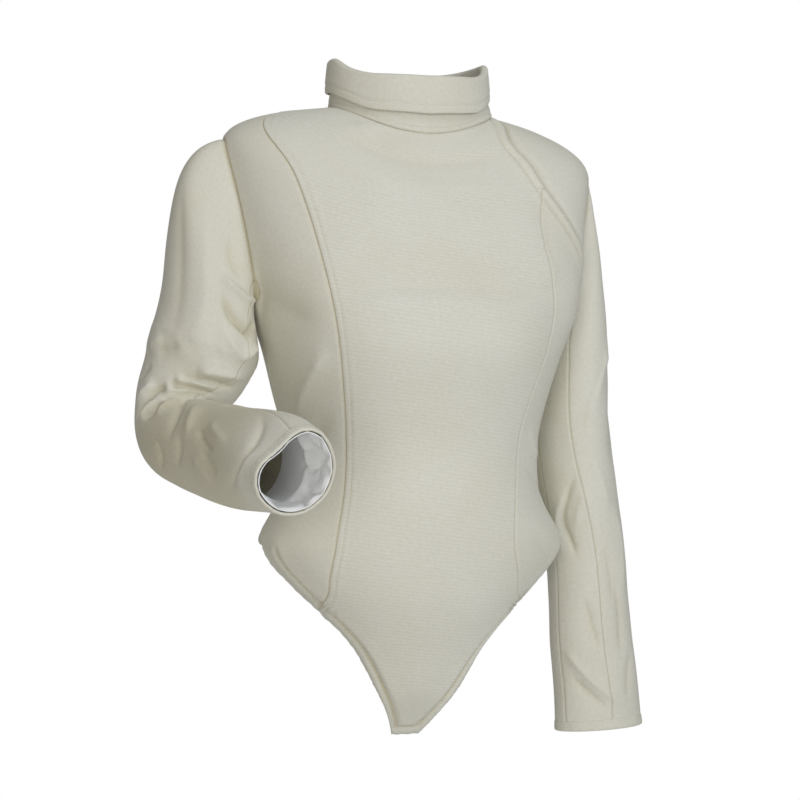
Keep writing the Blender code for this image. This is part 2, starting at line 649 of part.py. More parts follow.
def make_materials():
    """The canvas and the lining, each a Principled material."""
    made = []
    for name, colour, roughness in (("cream canvas", CREAM, 0.9), ("white lining", WHITE, 0.7)):
        material = bpy.data.materials.new(name)
        material.use_nodes = True
        shader = material.node_tree.nodes["Principled BSDF"]
        shader.inputs["Base Color"].default_value = colour
        shader.inputs["Roughness"].default_value = roughness
        shader.inputs["Metallic"].default_value = 0.0
        made.append(material)
    return made


for leftover in list(bpy.data.objects):
    bpy.data.objects.remove(leftover)
PARTS = bpy.data.collections.new("fencing_jacket")
bpy.context.scene.collection.children.link(PARTS)
CANVAS_MATERIAL, LINING_MATERIAL = make_materials()
make_body_panels()
make_sleeve(-1, "right", RIGHT_SLEEVE)
make_sleeve(1, "left", LEFT_SLEEVE)
make_cuff_lining()
make_neckband()
make_collar()
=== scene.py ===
"""Fencing jacket in worn form: sewn canvas panels, set-in sleeves, collar, cuffs and stitching.

The cloth follows the same forms as its solids.  The body is P(angle, station) and a sleeve is
S(turn, step).  Each piece is a thin wall between two seams of its form, with its creases, seam
edges and hems raised or sunk along the form's normals.  Forms are worked out in millimetres.
"""

import logging
import math
from collections.abc import Callable, Sequence
from dataclasses import dataclass, field
from enum import Enum

import bpy
import mathutils
import numpy as np
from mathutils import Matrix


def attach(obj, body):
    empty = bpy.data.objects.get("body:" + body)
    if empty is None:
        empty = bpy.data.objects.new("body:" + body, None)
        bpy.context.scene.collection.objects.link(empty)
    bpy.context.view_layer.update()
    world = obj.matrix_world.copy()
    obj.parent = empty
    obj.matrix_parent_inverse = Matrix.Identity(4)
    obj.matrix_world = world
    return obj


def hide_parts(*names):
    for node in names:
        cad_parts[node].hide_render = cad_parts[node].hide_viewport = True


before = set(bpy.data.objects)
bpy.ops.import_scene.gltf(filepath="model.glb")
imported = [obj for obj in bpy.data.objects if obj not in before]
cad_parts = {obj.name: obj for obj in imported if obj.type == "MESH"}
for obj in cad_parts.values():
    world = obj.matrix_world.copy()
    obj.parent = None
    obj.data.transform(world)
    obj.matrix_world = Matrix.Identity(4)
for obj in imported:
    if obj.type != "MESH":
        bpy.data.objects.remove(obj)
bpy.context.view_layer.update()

LOG = logging.getLogger("fencing_jacket")
MILLIMETRE = 0.001
Array = np.ndarray
# slow unevenness of cloth: period in millimetres, share of its height, phase
WAVES = ((97.0, 0.5, 0.3), (61.0, 0.3, 1.9), (43.0, 0.2, 4.1))


# ------------------------------------------------------------------ curves
def ease(value: Array) -> Array:
    """Smooth step from 0 at 0 to 1 at 1."""
    value = np.clip(value, 0, 1)
    return value * value * (3 - 2 * value)


def unit(vectors: Array) -> Array:
    """Vectors scaled to length 1."""
    return vectors / np.maximum(np.linalg.norm(vectors, axis=-1, keepdims=True), 1e-9)


def cubic(part: Array, start: Array, leaves: Array, end: Array, arrives: Array) -> Array:
    """The cubic curve between two values with known slopes.

    Args:
        part: how far along it, 0 to 1.
        start: its value at 0.
        leaves: its slope there.
        end: its value at 1.
        arrives: its slope there.

    Returns:
        The curve's value at each part.
    """
    return ((2 * part**3 - 3 * part**2 + 1) * start + (part**3 - 2 * part**2 + part) * leaves
            + (3 * part**2 - 2 * part**3) * end + (part**3 - part**2) * arrives)


def monotone(values: Array, at: Array) -> Array:
    """Curve through values at 0, 1, 2, ... that never overshoots them.

    Args:
        values: one value per station.
        at: stations to read, within the values.

    Returns:
        The curve's value at each station.
    """
    steps = np.diff(values)
    slopes = np.zeros_like(values)
    before, after = steps[:-1], steps[1:]
    runs_on = before * after > 0
    middle = np.zeros_like(before)
    middle[runs_on] = 2 * before[runs_on] * after[runs_on] / (before[runs_on] + after[runs_on])
    slopes[1:-1] = middle
    slopes[0], slopes[-1] = steps[0], steps[-1]
    low = np.minimum(at.astype(int), len(values) - 2)
    return cubic(at - low, values[low], slopes[low], values[low + 1], slopes[low + 1])


def glide(values: Sequence[float], at: Array) -> Array:
    """The monotone curve with its bends rounded, which keeps its two end values.

    Args:
        values: one value per station.
        at: stations to read.

    Returns:
        The rounded curve's value at each station.
    """
    weights = ((-0.44, 1 / 9), (-0.22, 2 / 9), (0.0, 3 / 9), (0.22, 2 / 9), (0.44, 1 / 9))
    values = np.asarray(values, dtype=float)
    last = len(values) - 1
    at = np.clip(np.asarray(at, dtype=float), 0, last)
    total = 0
    for shift, weight in weights:
        place = at + shift
        folded = np.where(place > last, 2 * last - place, np.abs(place))
        inside = monotone(values, folded)
        inside = np.where(place < 0, 2 * values[0] - inside, inside)
        total = total + weight * np.where(place > last, 2 * values[-1] - inside, inside)
    return total


@dataclass(frozen=True)
class Table:
    """Rows of sizes with named columns, read as smooth curves over the row numbers.

    Attributes:
        columns: the columns' names.
        rows: the named rows, one value for each column.
    """

    columns: tuple[str, ...]
    rows: dict[str, tuple[float, ...]]

    def column(self, name: str) -> Array:
        """One named column."""
        index = self.columns.index(name)
        return np.array([row[index] for row in self.rows.values()], dtype=float)

    def at(self, name: str, station: Array) -> Array:
        """A column's smooth curve at these stations."""
        return glide(self.column(name), station)


# ------------------------------------------------------------------ creases and edges
@dataclass(frozen=True)
class Crease:
    """A soft ridge or trough that runs along a form.

    Attributes:
        path: places on the form, as (across, down) pairs.
        height: millimetres, a ridge above 0 and a trough below it.
        width: millimetres from its middle to where little of it is left.
        ends: share of its length over which it fades in and out.
    """

    path: tuple[tuple[float, float], ...]
    height: float
    width: float
    ends: tuple[float, float] = (0.35, 0.35)

    def section(self, away: Array) -> Array:
        """Share of its height that is left at these distances from its middle."""
        return np.exp(-1.6 * (np.sqrt((away / self.width) ** 2 + 0.05) - 0.22))


class Profile(Enum):
    """How cloth stands along a seam or an edge: (distance in mm, height in mm) pairs."""

    VALLEY = ((0.0, -0.35), (0.9, 0.1), (2.6, 0.4), (5.5, 0.2), (9.0, 0.0))
    SET_IN = ((0.0, -1.3), (1.2, -0.9), (3.0, -0.2), (6.0, 0.1), (10.0, 0.0))
    SUNK = ((0.0, -1.35), (0.8, -1.1), (2.0, -0.35), (4.0, 0.0))
    LAPPED = ((0.0, -0.2), (0.7, 0.1), (2.6, 0.35), (5.2, 0.05), (6.2, 0.05), (8.2, 0.4), (13.0, 0.0))
    FLAP = ((0.0, 0.5), (0.9, 1.3), (4.0, 1.8), (7.4, 1.0), (8.8, -0.5), (9.8, -0.5), (12.5, 1.1),
            (22.0, 0.0))
    BENEATH = ((0.0, -1.0), (3.0, -0.8), (8.0, 0.0))
    FAINT = ((0.0, -0.55), (0.8, -0.25), (2.2, 0.15), (5.0, 0.1), (8.0, 0.0))
    HEM = ((0.0, -0.6), (1.4, 0.4), (5.0, 0.6), (12.0, 0.0))
    WELT = ((0.0, -1.2), (1.5, -0.9), (3.4, 0.6), (6.0, 1.5), (9.5, 1.0), (18.0, 0.0))
    BAND = ((0.0, -0.5), (1.0, 0.35), (3.6, 0.45), (4.6, 0.0), (5.4, 0.0), (8.0, 0.35), (12.0, 0.0))
    BAND_END = ((0.0, -0.4), (1.0, 0.3), (3.5, 0.4), (4.6, 0.05), (7.0, 0.0))
    LEAF = ((0.0, -0.5), (1.0, 0.3), (6.0, 0.35), (7.4, -0.2), (8.4, -0.2), (11.0, 0.3), (16.0, 0.0))

    def height(self, distance: Array) -> Array:
        """Height of the cloth at these distances from the edge."""
        reach, rise = np.array(self.value).T
        return np.interp(distance, reach, rise)


def path_points(form: Callable[[Array, Array], Array], path: Sequence[tuple[float, float]],
                count: int) -> Array:
    """Points on a form along a smooth path.

    Args:
        form: gives a point for (across, down).
        path: places on the form.
        count: how many points to give.

    Returns:
        The points, in millimetres.
    """
    places = np.array(path, dtype=float)
    at = np.linspace(0, len(places) - 1, count)
    if len(places) > 2:
        across, down = monotone(places[:, 0], at), monotone(places[:, 1], at)
    else:
        across = np.interp(at, range(len(places)), places[:, 0])
        down = np.interp(at, range(len(places)), places[:, 1])
    return form(across, down)


def nearest(points: Array, line: Array, reach: float) -> tuple[Array, Array, Array]:
    """How near points come to a line.

    Args:
        points: any array of points.
        line: the line's points.
        reach: points further than this are left out.

    Returns:
        The indices of the near points, their distances, and how far along the line they are, 0 to 1.
    """
    flat = points.reshape(-1, 3)
    low, high = line.min(axis=0) - reach, line.max(axis=0) + reach
    near = np.flatnonzero(np.all((flat > low) & (flat < high), axis=1))
    if not len(near):
        return near, np.zeros(0), np.zeros(0)
    start, run = line[:-1], np.diff(line, axis=0)
    size = np.maximum(np.sum(run * run, axis=1), 1e-9)
    away, along = np.full(len(near), 1e9), np.zeros(len(near))
    for index in range(len(run)):
        offset = flat[near] - start[index]
        part = np.clip(offset @ run[index] / size[index], 0, 1)
        gap = np.linalg.norm(offset - part[:, None] * run[index], axis=1)
        closer = gap < away
        away = np.where(closer, gap, away)
        along = np.where(closer, (index + part) / len(run), along)
    return near, away, along


@dataclass
class Cloth:
    """A form together with the creases in it.

    Attributes:
        form: gives a point for (across, down).
        turn_sign: 1 where across and down make an outward normal in that order, else -1.
        first: the first station of the form.
        last: the last station of the form.
        creases: the creases.
        waves: millimetres of slow unevenness.
        painted_darkening: how much darker the cloth's colour is painted in its deepest troughs, as painted
            shade.
        deepest: millimetres of such a trough.
    """

    form: Callable[[Array, Array], Array]
    turn_sign: int
    first: float
    last: float
    creases: list[Crease] = field(default_factory=list)
    waves: float = 0.45
    painted_darkening: float = 0.3
    deepest: float = 5.0

    def normal(self, across: Array, down: Array) -> Array:
        """Outward unit normals of the smooth form."""
        upper = np.clip(down - 0.01, self.first, self.last)
        lower = np.clip(down + 0.01, self.first, self.last)
        over = self.form(across + 0.5, down) - self.form(across - 0.5, down)
        run = self.form(across, lower) - self.form(across, upper)
        return self.turn_sign * unit(np.cross(run, over))

    def relief(self, points: Array) -> Array:
        """How far the cloth stands off the smooth form at these points of it."""
        total = np.zeros(points.shape[:-1]).reshape(-1)
        for crease in self.creases:
            line = path_points(self.form, crease.path, 8 * len(crease.path))
            near, away, along = nearest(points, line, 2.6 * crease.width)
            starts, ends = (max(share, 1e-6) for share in crease.ends)
            fade = ease(along / starts) * ease((1 - along) / ends)
            total[near] += crease.height * fade * crease.section(away)
        total = total.reshape(points.shape[:-1])
        for period, share, tilt in WAVES:
            x, y, z = (points[..., axis] / period for axis in range(3))
            swing = np.sin(x * 6.28 + tilt) * np.sin(z * 5.1 + 2 * tilt)
            total = total + self.waves * share * swing * np.cos(y * 4.4 + tilt)
        return total

    def soil_and_shade(self, relief: Array) -> Array:
        """Painted shade, 0 to 1: how much the cloth's colour is darkened in its troughs, by their depth."""
        return np.clip(-relief / self.deepest, 0, 1) * self.painted_darkening


# ------------------------------------------------------------------ the body's form
@dataclass(frozen=True)
class BodyForm:
    """The torso: angle 0 at the centre front, +90 at the wearer's left, 180 at the centre back.

    Attributes:
        sections: a row of millimetres for each station.
        seams: degrees of each seam at each station, and how far the closing side bulges.
        shoulder_lean: how much lower the shoulders' outer ends stand.
        lean_fades: stations between which the lean fades out.
        hip: the station of the back's hem, where the leg hem starts.
        flap_ends: the station where the closing flap's free edge meets the armhole.
        princess_top: the station where the right princess seam leaves the shoulder.
        princess_turns: where both princess seams turn out to the leg hem.
        princess_end: where they meet it.
        left_princess_top: where the left princess seam leaves the flap's edge.
        tongue_flattens: from where the tongue's cloth lies square to the front.
        narrowest: least degrees between a princess seam and the side.
        bulge_angles: degrees where the bulge starts, is full and ends.
        armhole_stations: the armholes' top and foot.
        armhole_reach: degrees by which an armhole reaches forward and back.
        armhole_fullness: below 1, an armhole is squarer than an ellipse.
    """

    sections: Table = Table(
        ("front_z", "side_z", "back_z", "half_width", "centre_y", "front", "back", "power"),
        {
            "neck": (-27, 0, 8, 79, 4, 64, 66, 2.0),
            "collarbone": (-45, -9, -14, 130, 4, 74, 76, 2.0),
            "shoulder": (-75, -42, -68, 194, 4, 86, 90, 2.0),
            "chest": (-120, -108, -118, 181, 2, 107, 98, 2.15),
            "armpit": (-195, -195, -195, 163, 0, 125, 100, 2.4),
            "bust": (-238, -238, -238, 148, 0, 130, 97, 2.4),
            "ribs": (-288, -288, -288, 137, 0, 115, 90, 2.2),
            "waist": (-338, -338, -338, 124, 0, 103, 85, 2.1),
            "high hip": (-388, -388, -388, 133, 0, 108, 98, 2.1),
            "hip": (-430, -430, -430, 155, 0, 104, 112, 2.1),
            "groin": (-478, -478, -478, 117, -11, 84, 112, 2.1),
            "leg": (-528, -528, -528, 68, -29, 40, 100, 2.1),
            "inner leg": (-572, -572, -572, 43, -26, 20, 80, 2.1),
            "fork": (-600, -600, -600, 26, -10, 8, 60, 2.1),
            "tip": (-624, -624, -624, 14, 14, 2, 40, 2.0),
        },
    )
    seams: Table = Table(
        ("right_princess", "left_princess", "closing", "bulge"),
        {
            "neck": (-90, 37, 84, 0),
            "collarbone": (-90, 37, 40, 0),
            "shoulder": (-47, 37, 35, 0),
            "chest": (-42, 35, 52, 3),
            "armpit": (-38, 44, 90, 7),
            "bust": (-40, 45, 90, 3),
            "ribs": (-41, 42, 90, 1),
            "waist": (-44, 43, 90, 5),
            "high hip": (-43, 36, 90, 1),
            "hip": (-39, 29, 90, 4),
            "groin": (-57, 49, 90, 0),
            "leg": (-90, 90, 90, 0),
        },
    )
    shoulder_lean: float = 0.06
    lean_fades: tuple[float, float] = (1.6, 4.5)
    hip: float = 9.0
    flap_ends: float = 3.95
    princess_top: float = 1.0
    princess_turns: float = 9.8
    princess_end: float = 10.36
    left_princess_top: float = 2.3
    tongue_flattens: float = 10.6
    narrowest: float = 1.2
    bulge_angles: tuple[float, float, float] = (42.0, 67.0, 79.0)
    armhole_stations: tuple[float, float] = (2.0, 4.05)
    armhole_reach: tuple[float, float] = (12.0, 25.0)
    armhole_fullness: float = 0.72

    @property
    def last(self) -> float:
        """The last station."""
        return len(self.sections.rows) - 1.0

    @property
    def armhole_span(self) -> tuple[float, float]:
        """Middle station of the armholes, and half their run of stations."""
        top, foot = self.armhole_stations
        return (top + foot) / 2, (foot - top) / 2

    def point(self, angle: Array, station: Array) -> Array:
        """Points of the form at these angles, in degrees, and stations."""
        turn = np.radians(angle)
        at = {name: self.sections.at(name, station) for name in self.sections.columns}
        sine, cosine = np.sin(turn), np.cos(turn)
        sharpness = 2 / at["power"]
        depth = np.where(cosine > 0, at["front"], at["back"])
        end_z = np.where(cosine > 0, at["front_z"], at["back_z"])
        x = at["half_width"] * np.sign(sine) * np.abs(sine) ** sharpness
        y = at["centre_y"] - depth * np.sign(cosine) * np.abs(cosine) ** sharpness
        z = at["side_z"] + (end_z - at["side_z"]) * cosine**2
        starts, ends = self.lean_fades
        lean = ease((ends - station) / (ends - starts))
        lean = lean * self.shoulder_lean * x * np.abs(x) / self.sections.rows["shoulder"][3]
        return np.stack(np.broadcast_arrays(x, y, z - lean), axis=-1)

    def degree(self, angle: Array, station: Array) -> Array:
        """Millimetres round the form per degree."""
        gap = self.point(angle + 0.5, station) - self.point(angle - 0.5, station)
        return np.maximum(np.linalg.norm(gap, axis=-1), 0.05)

    def seam(self, name: str, station: Array) -> Array:
        """Angle of a named seam at these stations."""
        angle = self.seams.at(name, station)
        if name == "closing":
            return angle
        turning = (station - self.princess_turns) / (self.princess_end - self.princess_turns)
        turned = np.clip(turning, 0, 1) ** 3
        between = (station > self.princess_top - 0.01) & (station < self.princess_end + 0.01)
        furthest = np.where(between, 90 - self.narrowest, 90)
        return np.clip(angle + (np.sign(angle) * 90 - angle) * turned, -furthest, furthest)

    def bulge(self, angle: Array, station: Array) -> Array:
        """How far the closing side stands off the form."""
        start, full, end = self.bulge_angles
        rise = ease((angle - start) / (full - start)) * ease((end - angle) / (end - full))
        return self.seams.at("bulge", station) * rise

    def armhole(self, turn: Array) -> tuple[Array, Array]:
        """Angle and station of the left armhole: turn 0 at its top, pi at its foot, then the back."""
        middle, half = self.armhole_span
        front, back = self.armhole_reach
        across = np.sign(np.sin(turn)) * np.abs(np.sin(turn)) ** self.armhole_fullness
        return 90 - np.where(across > 0, front, back) * across, middle - half * np.cos(turn)

    def outer_edge(self, stations: Array, side: int, front: bool) -> Array:
        """Angle of a panel's outer edge: shoulder seam, armhole, side seam and leg hem.

        Args:
            stations: the panel's rows.
            side: 1 for the wearer's left, -1 for the right.
            front: whether the panel is a front one.

        Returns:
            One angle per station.
        """
        top, foot = self.armhole_stations
        middle, half = self.armhole_span
        turn = np.arccos(np.clip((middle - stations) / half, -1, 1))
        angle, _ = self.armhole(turn if front else -turn)
        at_hole = (stations > top) & (stations < foot)
        return side * np.where(at_hole, angle, 90.0)

    def rows(self) -> tuple[Array, Array]:
        """Stations of the panels' rows, down to the hip and then along the leg hem."""
        top, foot = self.armhole_stations
        middle, half = self.armhole_span
        along = middle - half * np.cos(np.linspace(0, math.pi, 57))
        above = np.linspace(0, top, 30)[:-1]
        below = np.linspace(foot, self.hip, 80)[1:]
        leg = np.linspace(self.hip, self.last, 76)[1:]
        return np.concatenate([above, along, below]), leg


# ------------------------------------------------------------------ the sleeves' forms
@dataclass(frozen=True)
class SleeveForm:
    """A sleeve: turn 0 at its outer side, 90 at the front, 180 at the body, 270 at the back.

    Steps below 0 are the cap, from the armhole at -1, and from 0 on they are the arm's sections.

    Attributes:
        body: the form it is set into.
        side: 1 for the wearer's left, -1 for the right.
        sections: centre and reaches of the arm in millimetres, a row for each step.
        cap_outward: how steeply the sleeve head leaves the shoulder.
        cap_fullness: how far the sleeve head swells.
        seams: turns of the long seams at each step, from the armhole.
        leaves: how the sleeve leaves the armhole: sideways, forward, down at the foot and at the head.
        gap: millimetres between its edge and the armhole's.
        clearance: millimetres kept between sleeve and body below the armpit.
        rim_shape: share of the round rim's radius at each turn.
        rim_shape_from: the step from which the rim's shape comes in.
    """

    body: BodyForm
    side: int
    sections: Table
    cap_outward: float
    cap_fullness: float
    seams: Table = Table(
        ("fore", "inner", "back"),
        {
            "armhole": (135, 180, 270),
            "biceps": (125, 172, 262),
            "above elbow": (120, 168, 258),
            "crook": (112, 166, 256),
            "elbow": (104, 164, 254),
            "below elbow": (97, 162, 254),
            "forearm": (92, 160, 254),
            "wrist": (88, 156, 254),
            "rim": (85, 154, 254),
        },
    )
    leaves: tuple[float, float, float, float] = (0.3, -0.15, -0.95, -0.3)
    gap: float = 0.3
    clearance: float = 3.0
    rim_shape: tuple[tuple[float, float], ...] = ((0, 1.0), (360, 1.0))
    rim_shape_from: float = 5.2

    @property
    def last(self) -> float:
        """The step of the cuff's rim."""
        return len(self.sections.rows) - 1.0

    def frames(self, step: Array) -> tuple[Array, Array, Array, Array]:
        """Centres, outward and forward axes and run of the arm at these steps."""
        centre = np.stack([self.sections.at(name, step) for name in "xyz"], axis=-1)
        ahead = np.stack([self.sections.at(name, step + 0.05) for name in "xyz"], axis=-1)
        behind = np.stack([self.sections.at(name, step - 0.05) for name in "xyz"], axis=-1)
        run = unit(ahead - behind)
        sideways = unit(np.array([1.0, 0.0, 0.0]) - run * run[..., :1])
        return centre, sideways, np.cross(run, sideways), run

    def arm(self, turn: Array, step: Array) -> Array:
        """Points of plain arm sections."""
        centre, sideways, forward, _ = self.frames(step)
        angle = np.radians(turn)
        reach = np.where(np.sin(angle) > 0, self.sections.at("fore", step), self.sections.at("back", step))
        turns, shares = np.array(self.rim_shape, dtype=float).T
        worn = sum(np.interp((turn + shift) % 360, turns, shares) for shift in (-12, -6, 0, 6, 12)) / 5
        worn = 1 + (worn - 1) * ease((step - self.rim_shape_from) / (self.last - self.rim_shape_from))
        across = self.sections.at("across", step) * np.cos(angle) * worn
        return (centre + self.side * sideways * across[..., None]
                + forward * (reach * worn * np.sin(angle))[..., None])

    def ring(self, turn: Array) -> tuple[Array, Array]:
        """Armhole points and the way each faces into the hole."""
        def place(at: Array) -> Array:
            """Points of the armhole at these turns, in degrees."""
            angle, station = self.body.armhole(np.radians(at))
            return self.body.point(self.side * angle, station)

        points = place(turn)
        angle, station = self.body.armhole(np.radians(turn))
        angle = self.side * angle
        over = self.body.point(angle + 0.5, station) - self.body.point(angle - 0.5, station)
        run = self.body.point(angle, station + 0.01) - self.body.point(angle, station - 0.01)
        normal = unit(np.cross(run, over))
        inward = unit(np.cross(normal, place(turn + 1.0) - place(turn - 1.0)))
        centre = place(np.linspace(0, 360, 20, endpoint=False)).mean(axis=0)
        facing = np.sign(np.sum(inward * (centre - points), axis=-1, keepdims=True))
        return points, inward * facing

    def clear_of_body(self, points: Array) -> Array:
        """Points below the armpit moved out until they clear the body's form."""
        table = self.body.sections
        heights = table.column("side_z")
        station = np.interp(-points[..., 2], -heights, np.arange(len(heights)))
        names = ("half_width", "centre_y", "front", "back", "power")
        at = {name: table.at(name, station) for name in names}
        aside = points[..., 1] - at["centre_y"]
        depth = np.where(aside < 0, at["front"], at["back"])
        power = at["power"]
        reach = np.abs(points[..., 0] / at["half_width"]) ** power + np.abs(aside / depth) ** power
        radius = reach ** (1 / power)
        below = ease((table.rows["armpit"][1] - points[..., 2]) / 12)
        above_hem = ease((points[..., 2] - table.rows["hip"][1]) / 20 + 1.25)
        grow = 1 + np.maximum((1 + self.clearance / at["half_width"]) / radius - 1, 0) * below * above_hem
        x = points[..., 0] * grow
        y = at["centre_y"] + aside * grow
        return np.stack([x, y, points[..., 2]], axis=-1)

    def point(self, turn: Array, step: Array) -> Array:
        """Points of the sleeve at these turns, in degrees, and steps."""
        turn, step = np.broadcast_arrays(np.asarray(turn, float), np.asarray(step, float))
        start, inward = self.ring(turn)
        start = start + inward * self.gap
        first = self.arm(turn, np.zeros_like(step))
        height = (1 + np.cos(np.radians(turn))) / 2
        sides, fore, foot, head = self.leaves
        leave = unit(np.stack([
            self.side * (sides * (1 - height) + self.cap_outward * height),
            fore * np.sin(np.radians(turn)),
            foot * (1 - height) + head * height,
        ], axis=-1)) * (1 + (self.cap_fullness - 1) * height)[..., None]
        reach = np.linalg.norm(first - start, axis=-1, keepdims=True)
        run = self.frames(np.zeros_like(step))[3]
        part = np.clip(1 + step, 0, 1)[..., None]
        cap = cubic(part, start, leave * reach, first, run * reach)
        skin = np.where(step[..., None] < 0, cap, self.arm(turn, np.maximum(step, 0)))
        cleared = self.clear_of_body(skin)
        return np.where(step[..., None] <= -0.999, skin, cleared)


# ------------------------------------------------------------------ finishes
def linear(code: str) -> tuple[float, float, float, float]:
    """An sRGB hex colour as linear values with alpha."""
    parts = [int(code[index:index + 2], 16) / 255 for index in (1, 3, 5)]
    values = [part / 12.92 if part <= 0.04045 else ((part + 0.055) / 1.055) ** 2.4 for part in parts]
    return (*values, 1.0)


def add(tree: bpy.types.NodeTree, kind: str, links: dict[object, object] | None = None,
        **settings: object) -> bpy.types.Node:
    """Adds a node with its settings and links.

    Args:
        tree: the node tree.
        kind: the node's type name.
        links: input name or number to an output socket, or to a plain value.
        settings: properties of the node.

    Returns:
        The new node.
    """
    node = tree.nodes.new(kind)
    for name, value in settings.items():
        setattr(node, name, value)
    for name, value in (links or {}).items():
        if isinstance(value, bpy.types.NodeSocket):
            tree.links.new(value, node.inputs[name])
        else:
            node.inputs[name].default_value = value
    return node


def start_material(name: str) -> tuple[bpy.types.Material, bpy.types.Node]:
    """A new material and its shader."""
    material = bpy.data.materials.new(name)
    material.use_nodes = True
    return material, material.node_tree.nodes["Principled BSDF"]


def band_scale(width: float) -> float:
    """Scale of a wave texture whose bands are this many millimetres wide."""
    return 1000 / width * math.pi / 10


@dataclass(frozen=True)
class Canvas:
    """Woven cotton and polyester canvas, undyed: a matt cream with a fine cross rib.

    Attributes:
        name: the finish's name.
        light: colour of the cloth.
        shade: colour of its darker threads and blotches, and of the painted shade in its hollows.
        rib: millimetres between ribs; real threads are finer than can show.
        rib_height: millimetres of bump on the ribs.
        slant: degrees by which the ribs run off level.
        contrast: how much darker the cloth is between ribs.
        thread: millimetres between the threads that cross them.
        surface: the shader's plain values.
    """

    name: str
    light: str = "#E6E7E1"
    shade: str = "#CBC4AA"
    rib: float = 3.7
    rib_height: float = 0.12
    slant: float = 8.0
    contrast: float = 0.13
    thread: float = 1.5
    surface: tuple[tuple[str, float], ...] = (
        ("Roughness", 0.88), ("Specular IOR Level", 0.25), ("Sheen Weight", 0.12), ("Sheen Roughness", 0.5))

    def build(self) -> bpy.types.Material:
        """Makes the material."""
        material, shader = start_material(self.name)
        tree = material.node_tree
        where = add(tree, "ShaderNodeUVMap", uv_map="UVMap")
        turned = add(tree, "ShaderNodeMapping", {"Vector": where.outputs["UV"],
                                                 "Rotation": (0.0, 0.0, math.radians(self.slant))})
        ribs = add(tree, "ShaderNodeTexWave", {
            "Vector": turned.outputs["Vector"], "Scale": band_scale(self.rib),
            "Distortion": 2.2, "Detail": 2.0, "Detail Scale": 0.35, "Detail Roughness": 0.6,
        }, bands_direction="Y")
        threads = add(tree, "ShaderNodeTexWave", {
            "Vector": turned.outputs["Vector"], "Scale": band_scale(self.thread), "Distortion": 3.0,
            "Detail": 2.0, "Detail Scale": 0.5,
        }, bands_direction="X")
        soil_and_shade = add(tree, "ShaderNodeTexNoise", {"Vector": where.outputs["UV"], "Scale": 9.0, "Detail": 4.0})
        slub = add(tree, "ShaderNodeTexNoise", {"Vector": where.outputs["UV"], "Scale": 260.0, "Detail": 3.0})
        patchy = add(tree, "ShaderNodeMath", {0: soil_and_shade.outputs["Fac"], 1: 0.42}, operation="MULTIPLY")
        ribbed = add(tree, "ShaderNodeMath", {
            0: ribs.outputs["Fac"], 1: -self.contrast, 2: patchy.outputs[0]}, operation="MULTIPLY_ADD")
        flecked = add(tree, "ShaderNodeMath", {0: slub.outputs["Fac"], 1: 0.5, 2: ribbed.outputs[0]},
                      operation="MULTIPLY_ADD")
        # painted shade: a per-point attribute of shade in troughs, seams and the neckband pushes the colour
        # towards the shade colour
        painted_shade = add(tree, "ShaderNodeAttribute", attribute_name="painted_shade")
        shaded = add(tree, "ShaderNodeMath", {0: flecked.outputs[0], 1: painted_shade.outputs["Fac"]},
                     operation="ADD", use_clamp=True)
        colour = add(tree, "ShaderNodeMix", {"Factor": shaded.outputs[0], 6: linear(self.light),
                                             7: linear(self.shade)}, data_type="RGBA")
        weave = add(tree, "ShaderNodeMath", {0: threads.outputs["Fac"], 1: 0.35, 2: ribs.outputs["Fac"]},
                    operation="MULTIPLY_ADD")
        rough = add(tree, "ShaderNodeMath", {0: slub.outputs["Fac"], 1: 0.6, 2: weave.outputs[0]},
                    operation="MULTIPLY_ADD")
        bump = add(tree, "ShaderNodeBump", {"Height": rough.outputs[0], "Strength": 0.35,
                                            "Distance": self.rib_height * MILLIMETRE})
        tree.links.new(colour.outputs[2], shader.inputs["Base Color"])
        tree.links.new(bump.outputs["Normal"], shader.inputs["Normal"])
        for name, value in self.surface:
            shader.inputs[name].default_value = value
        return material


@dataclass(frozen=True)
class Plain:
    """A smoother finish: lining cloth or sewing thread.

    Attributes:
        name: the finish's name.
        colour: its colour.
        roughness: the shader's roughness.
        fibre: millimetres of its fine unevenness.
    """

    name: str
    colour: str
    roughness: float
    fibre: float = 1.1

    def build(self) -> bpy.types.Material:
        """Makes the material."""
        material, shader = start_material(self.name)
        tree = material.node_tree
        where = add(tree, "ShaderNodeTexCoord")
        fibres = add(tree, "ShaderNodeTexNoise", {"Vector": where.outputs["Object"], "Detail": 3.0,
                                                  "Scale": 1000 / self.fibre / 2})
        bump = add(tree, "ShaderNodeBump", {"Height": fibres.outputs["Fac"], "Strength": 0.25,
                                            "Distance": 0.1 * MILLIMETRE})
        tone = add(tree, "ShaderNodeMapRange", {"Value": fibres.outputs["Fac"], "To Min": 0.93,
                                                "To Max": 1.05})
        colour = add(tree, "ShaderNodeVectorMath", {0: linear(self.colour)[:3], "Scale": tone.outputs[0]},
                     operation="SCALE")
        tree.links.new(colour.outputs[0], shader.inputs["Base Color"])
        tree.links.new(bump.outputs["Normal"], shader.inputs["Normal"])
        shader.inputs["Roughness"].default_value = self.roughness
        shader.inputs["Specular IOR Level"].default_value = 0.15
        return material


@dataclass
class Finishes:
    """The materials of the jacket.

    Attributes:
        front: the front's ribbed canvas.
        plain: the closer weave elsewhere.
        lining: the cuff's lining.
        thread: the topstitching.
    """

    front: bpy.types.Material = field(default_factory=lambda: Canvas("Ribbed cotton canvas").build())
    plain: bpy.types.Material = field(default_factory=lambda: Canvas(
        "Close-woven cotton canvas", rib=1.9, rib_height=0.06, slant=-4.0, contrast=0.05).build())
    lining: bpy.types.Material = field(default_factory=lambda: Plain(
        "White polyester lining", "#F6F7F7", 0.85).build())
    thread: bpy.types.Material = field(default_factory=lambda: Plain(
        "Spun polyester thread", "#E4E0CE", 0.7, 0.5).build())


# ------------------------------------------------------------------ meshes
def link(name: str, mesh: bpy.types.Mesh) -> bpy.types.Object:
    """Puts a mesh in the scene as an object at the origin."""
    piece = bpy.data.objects.new(name, mesh)
    bpy.context.scene.collection.objects.link(piece)
    return piece


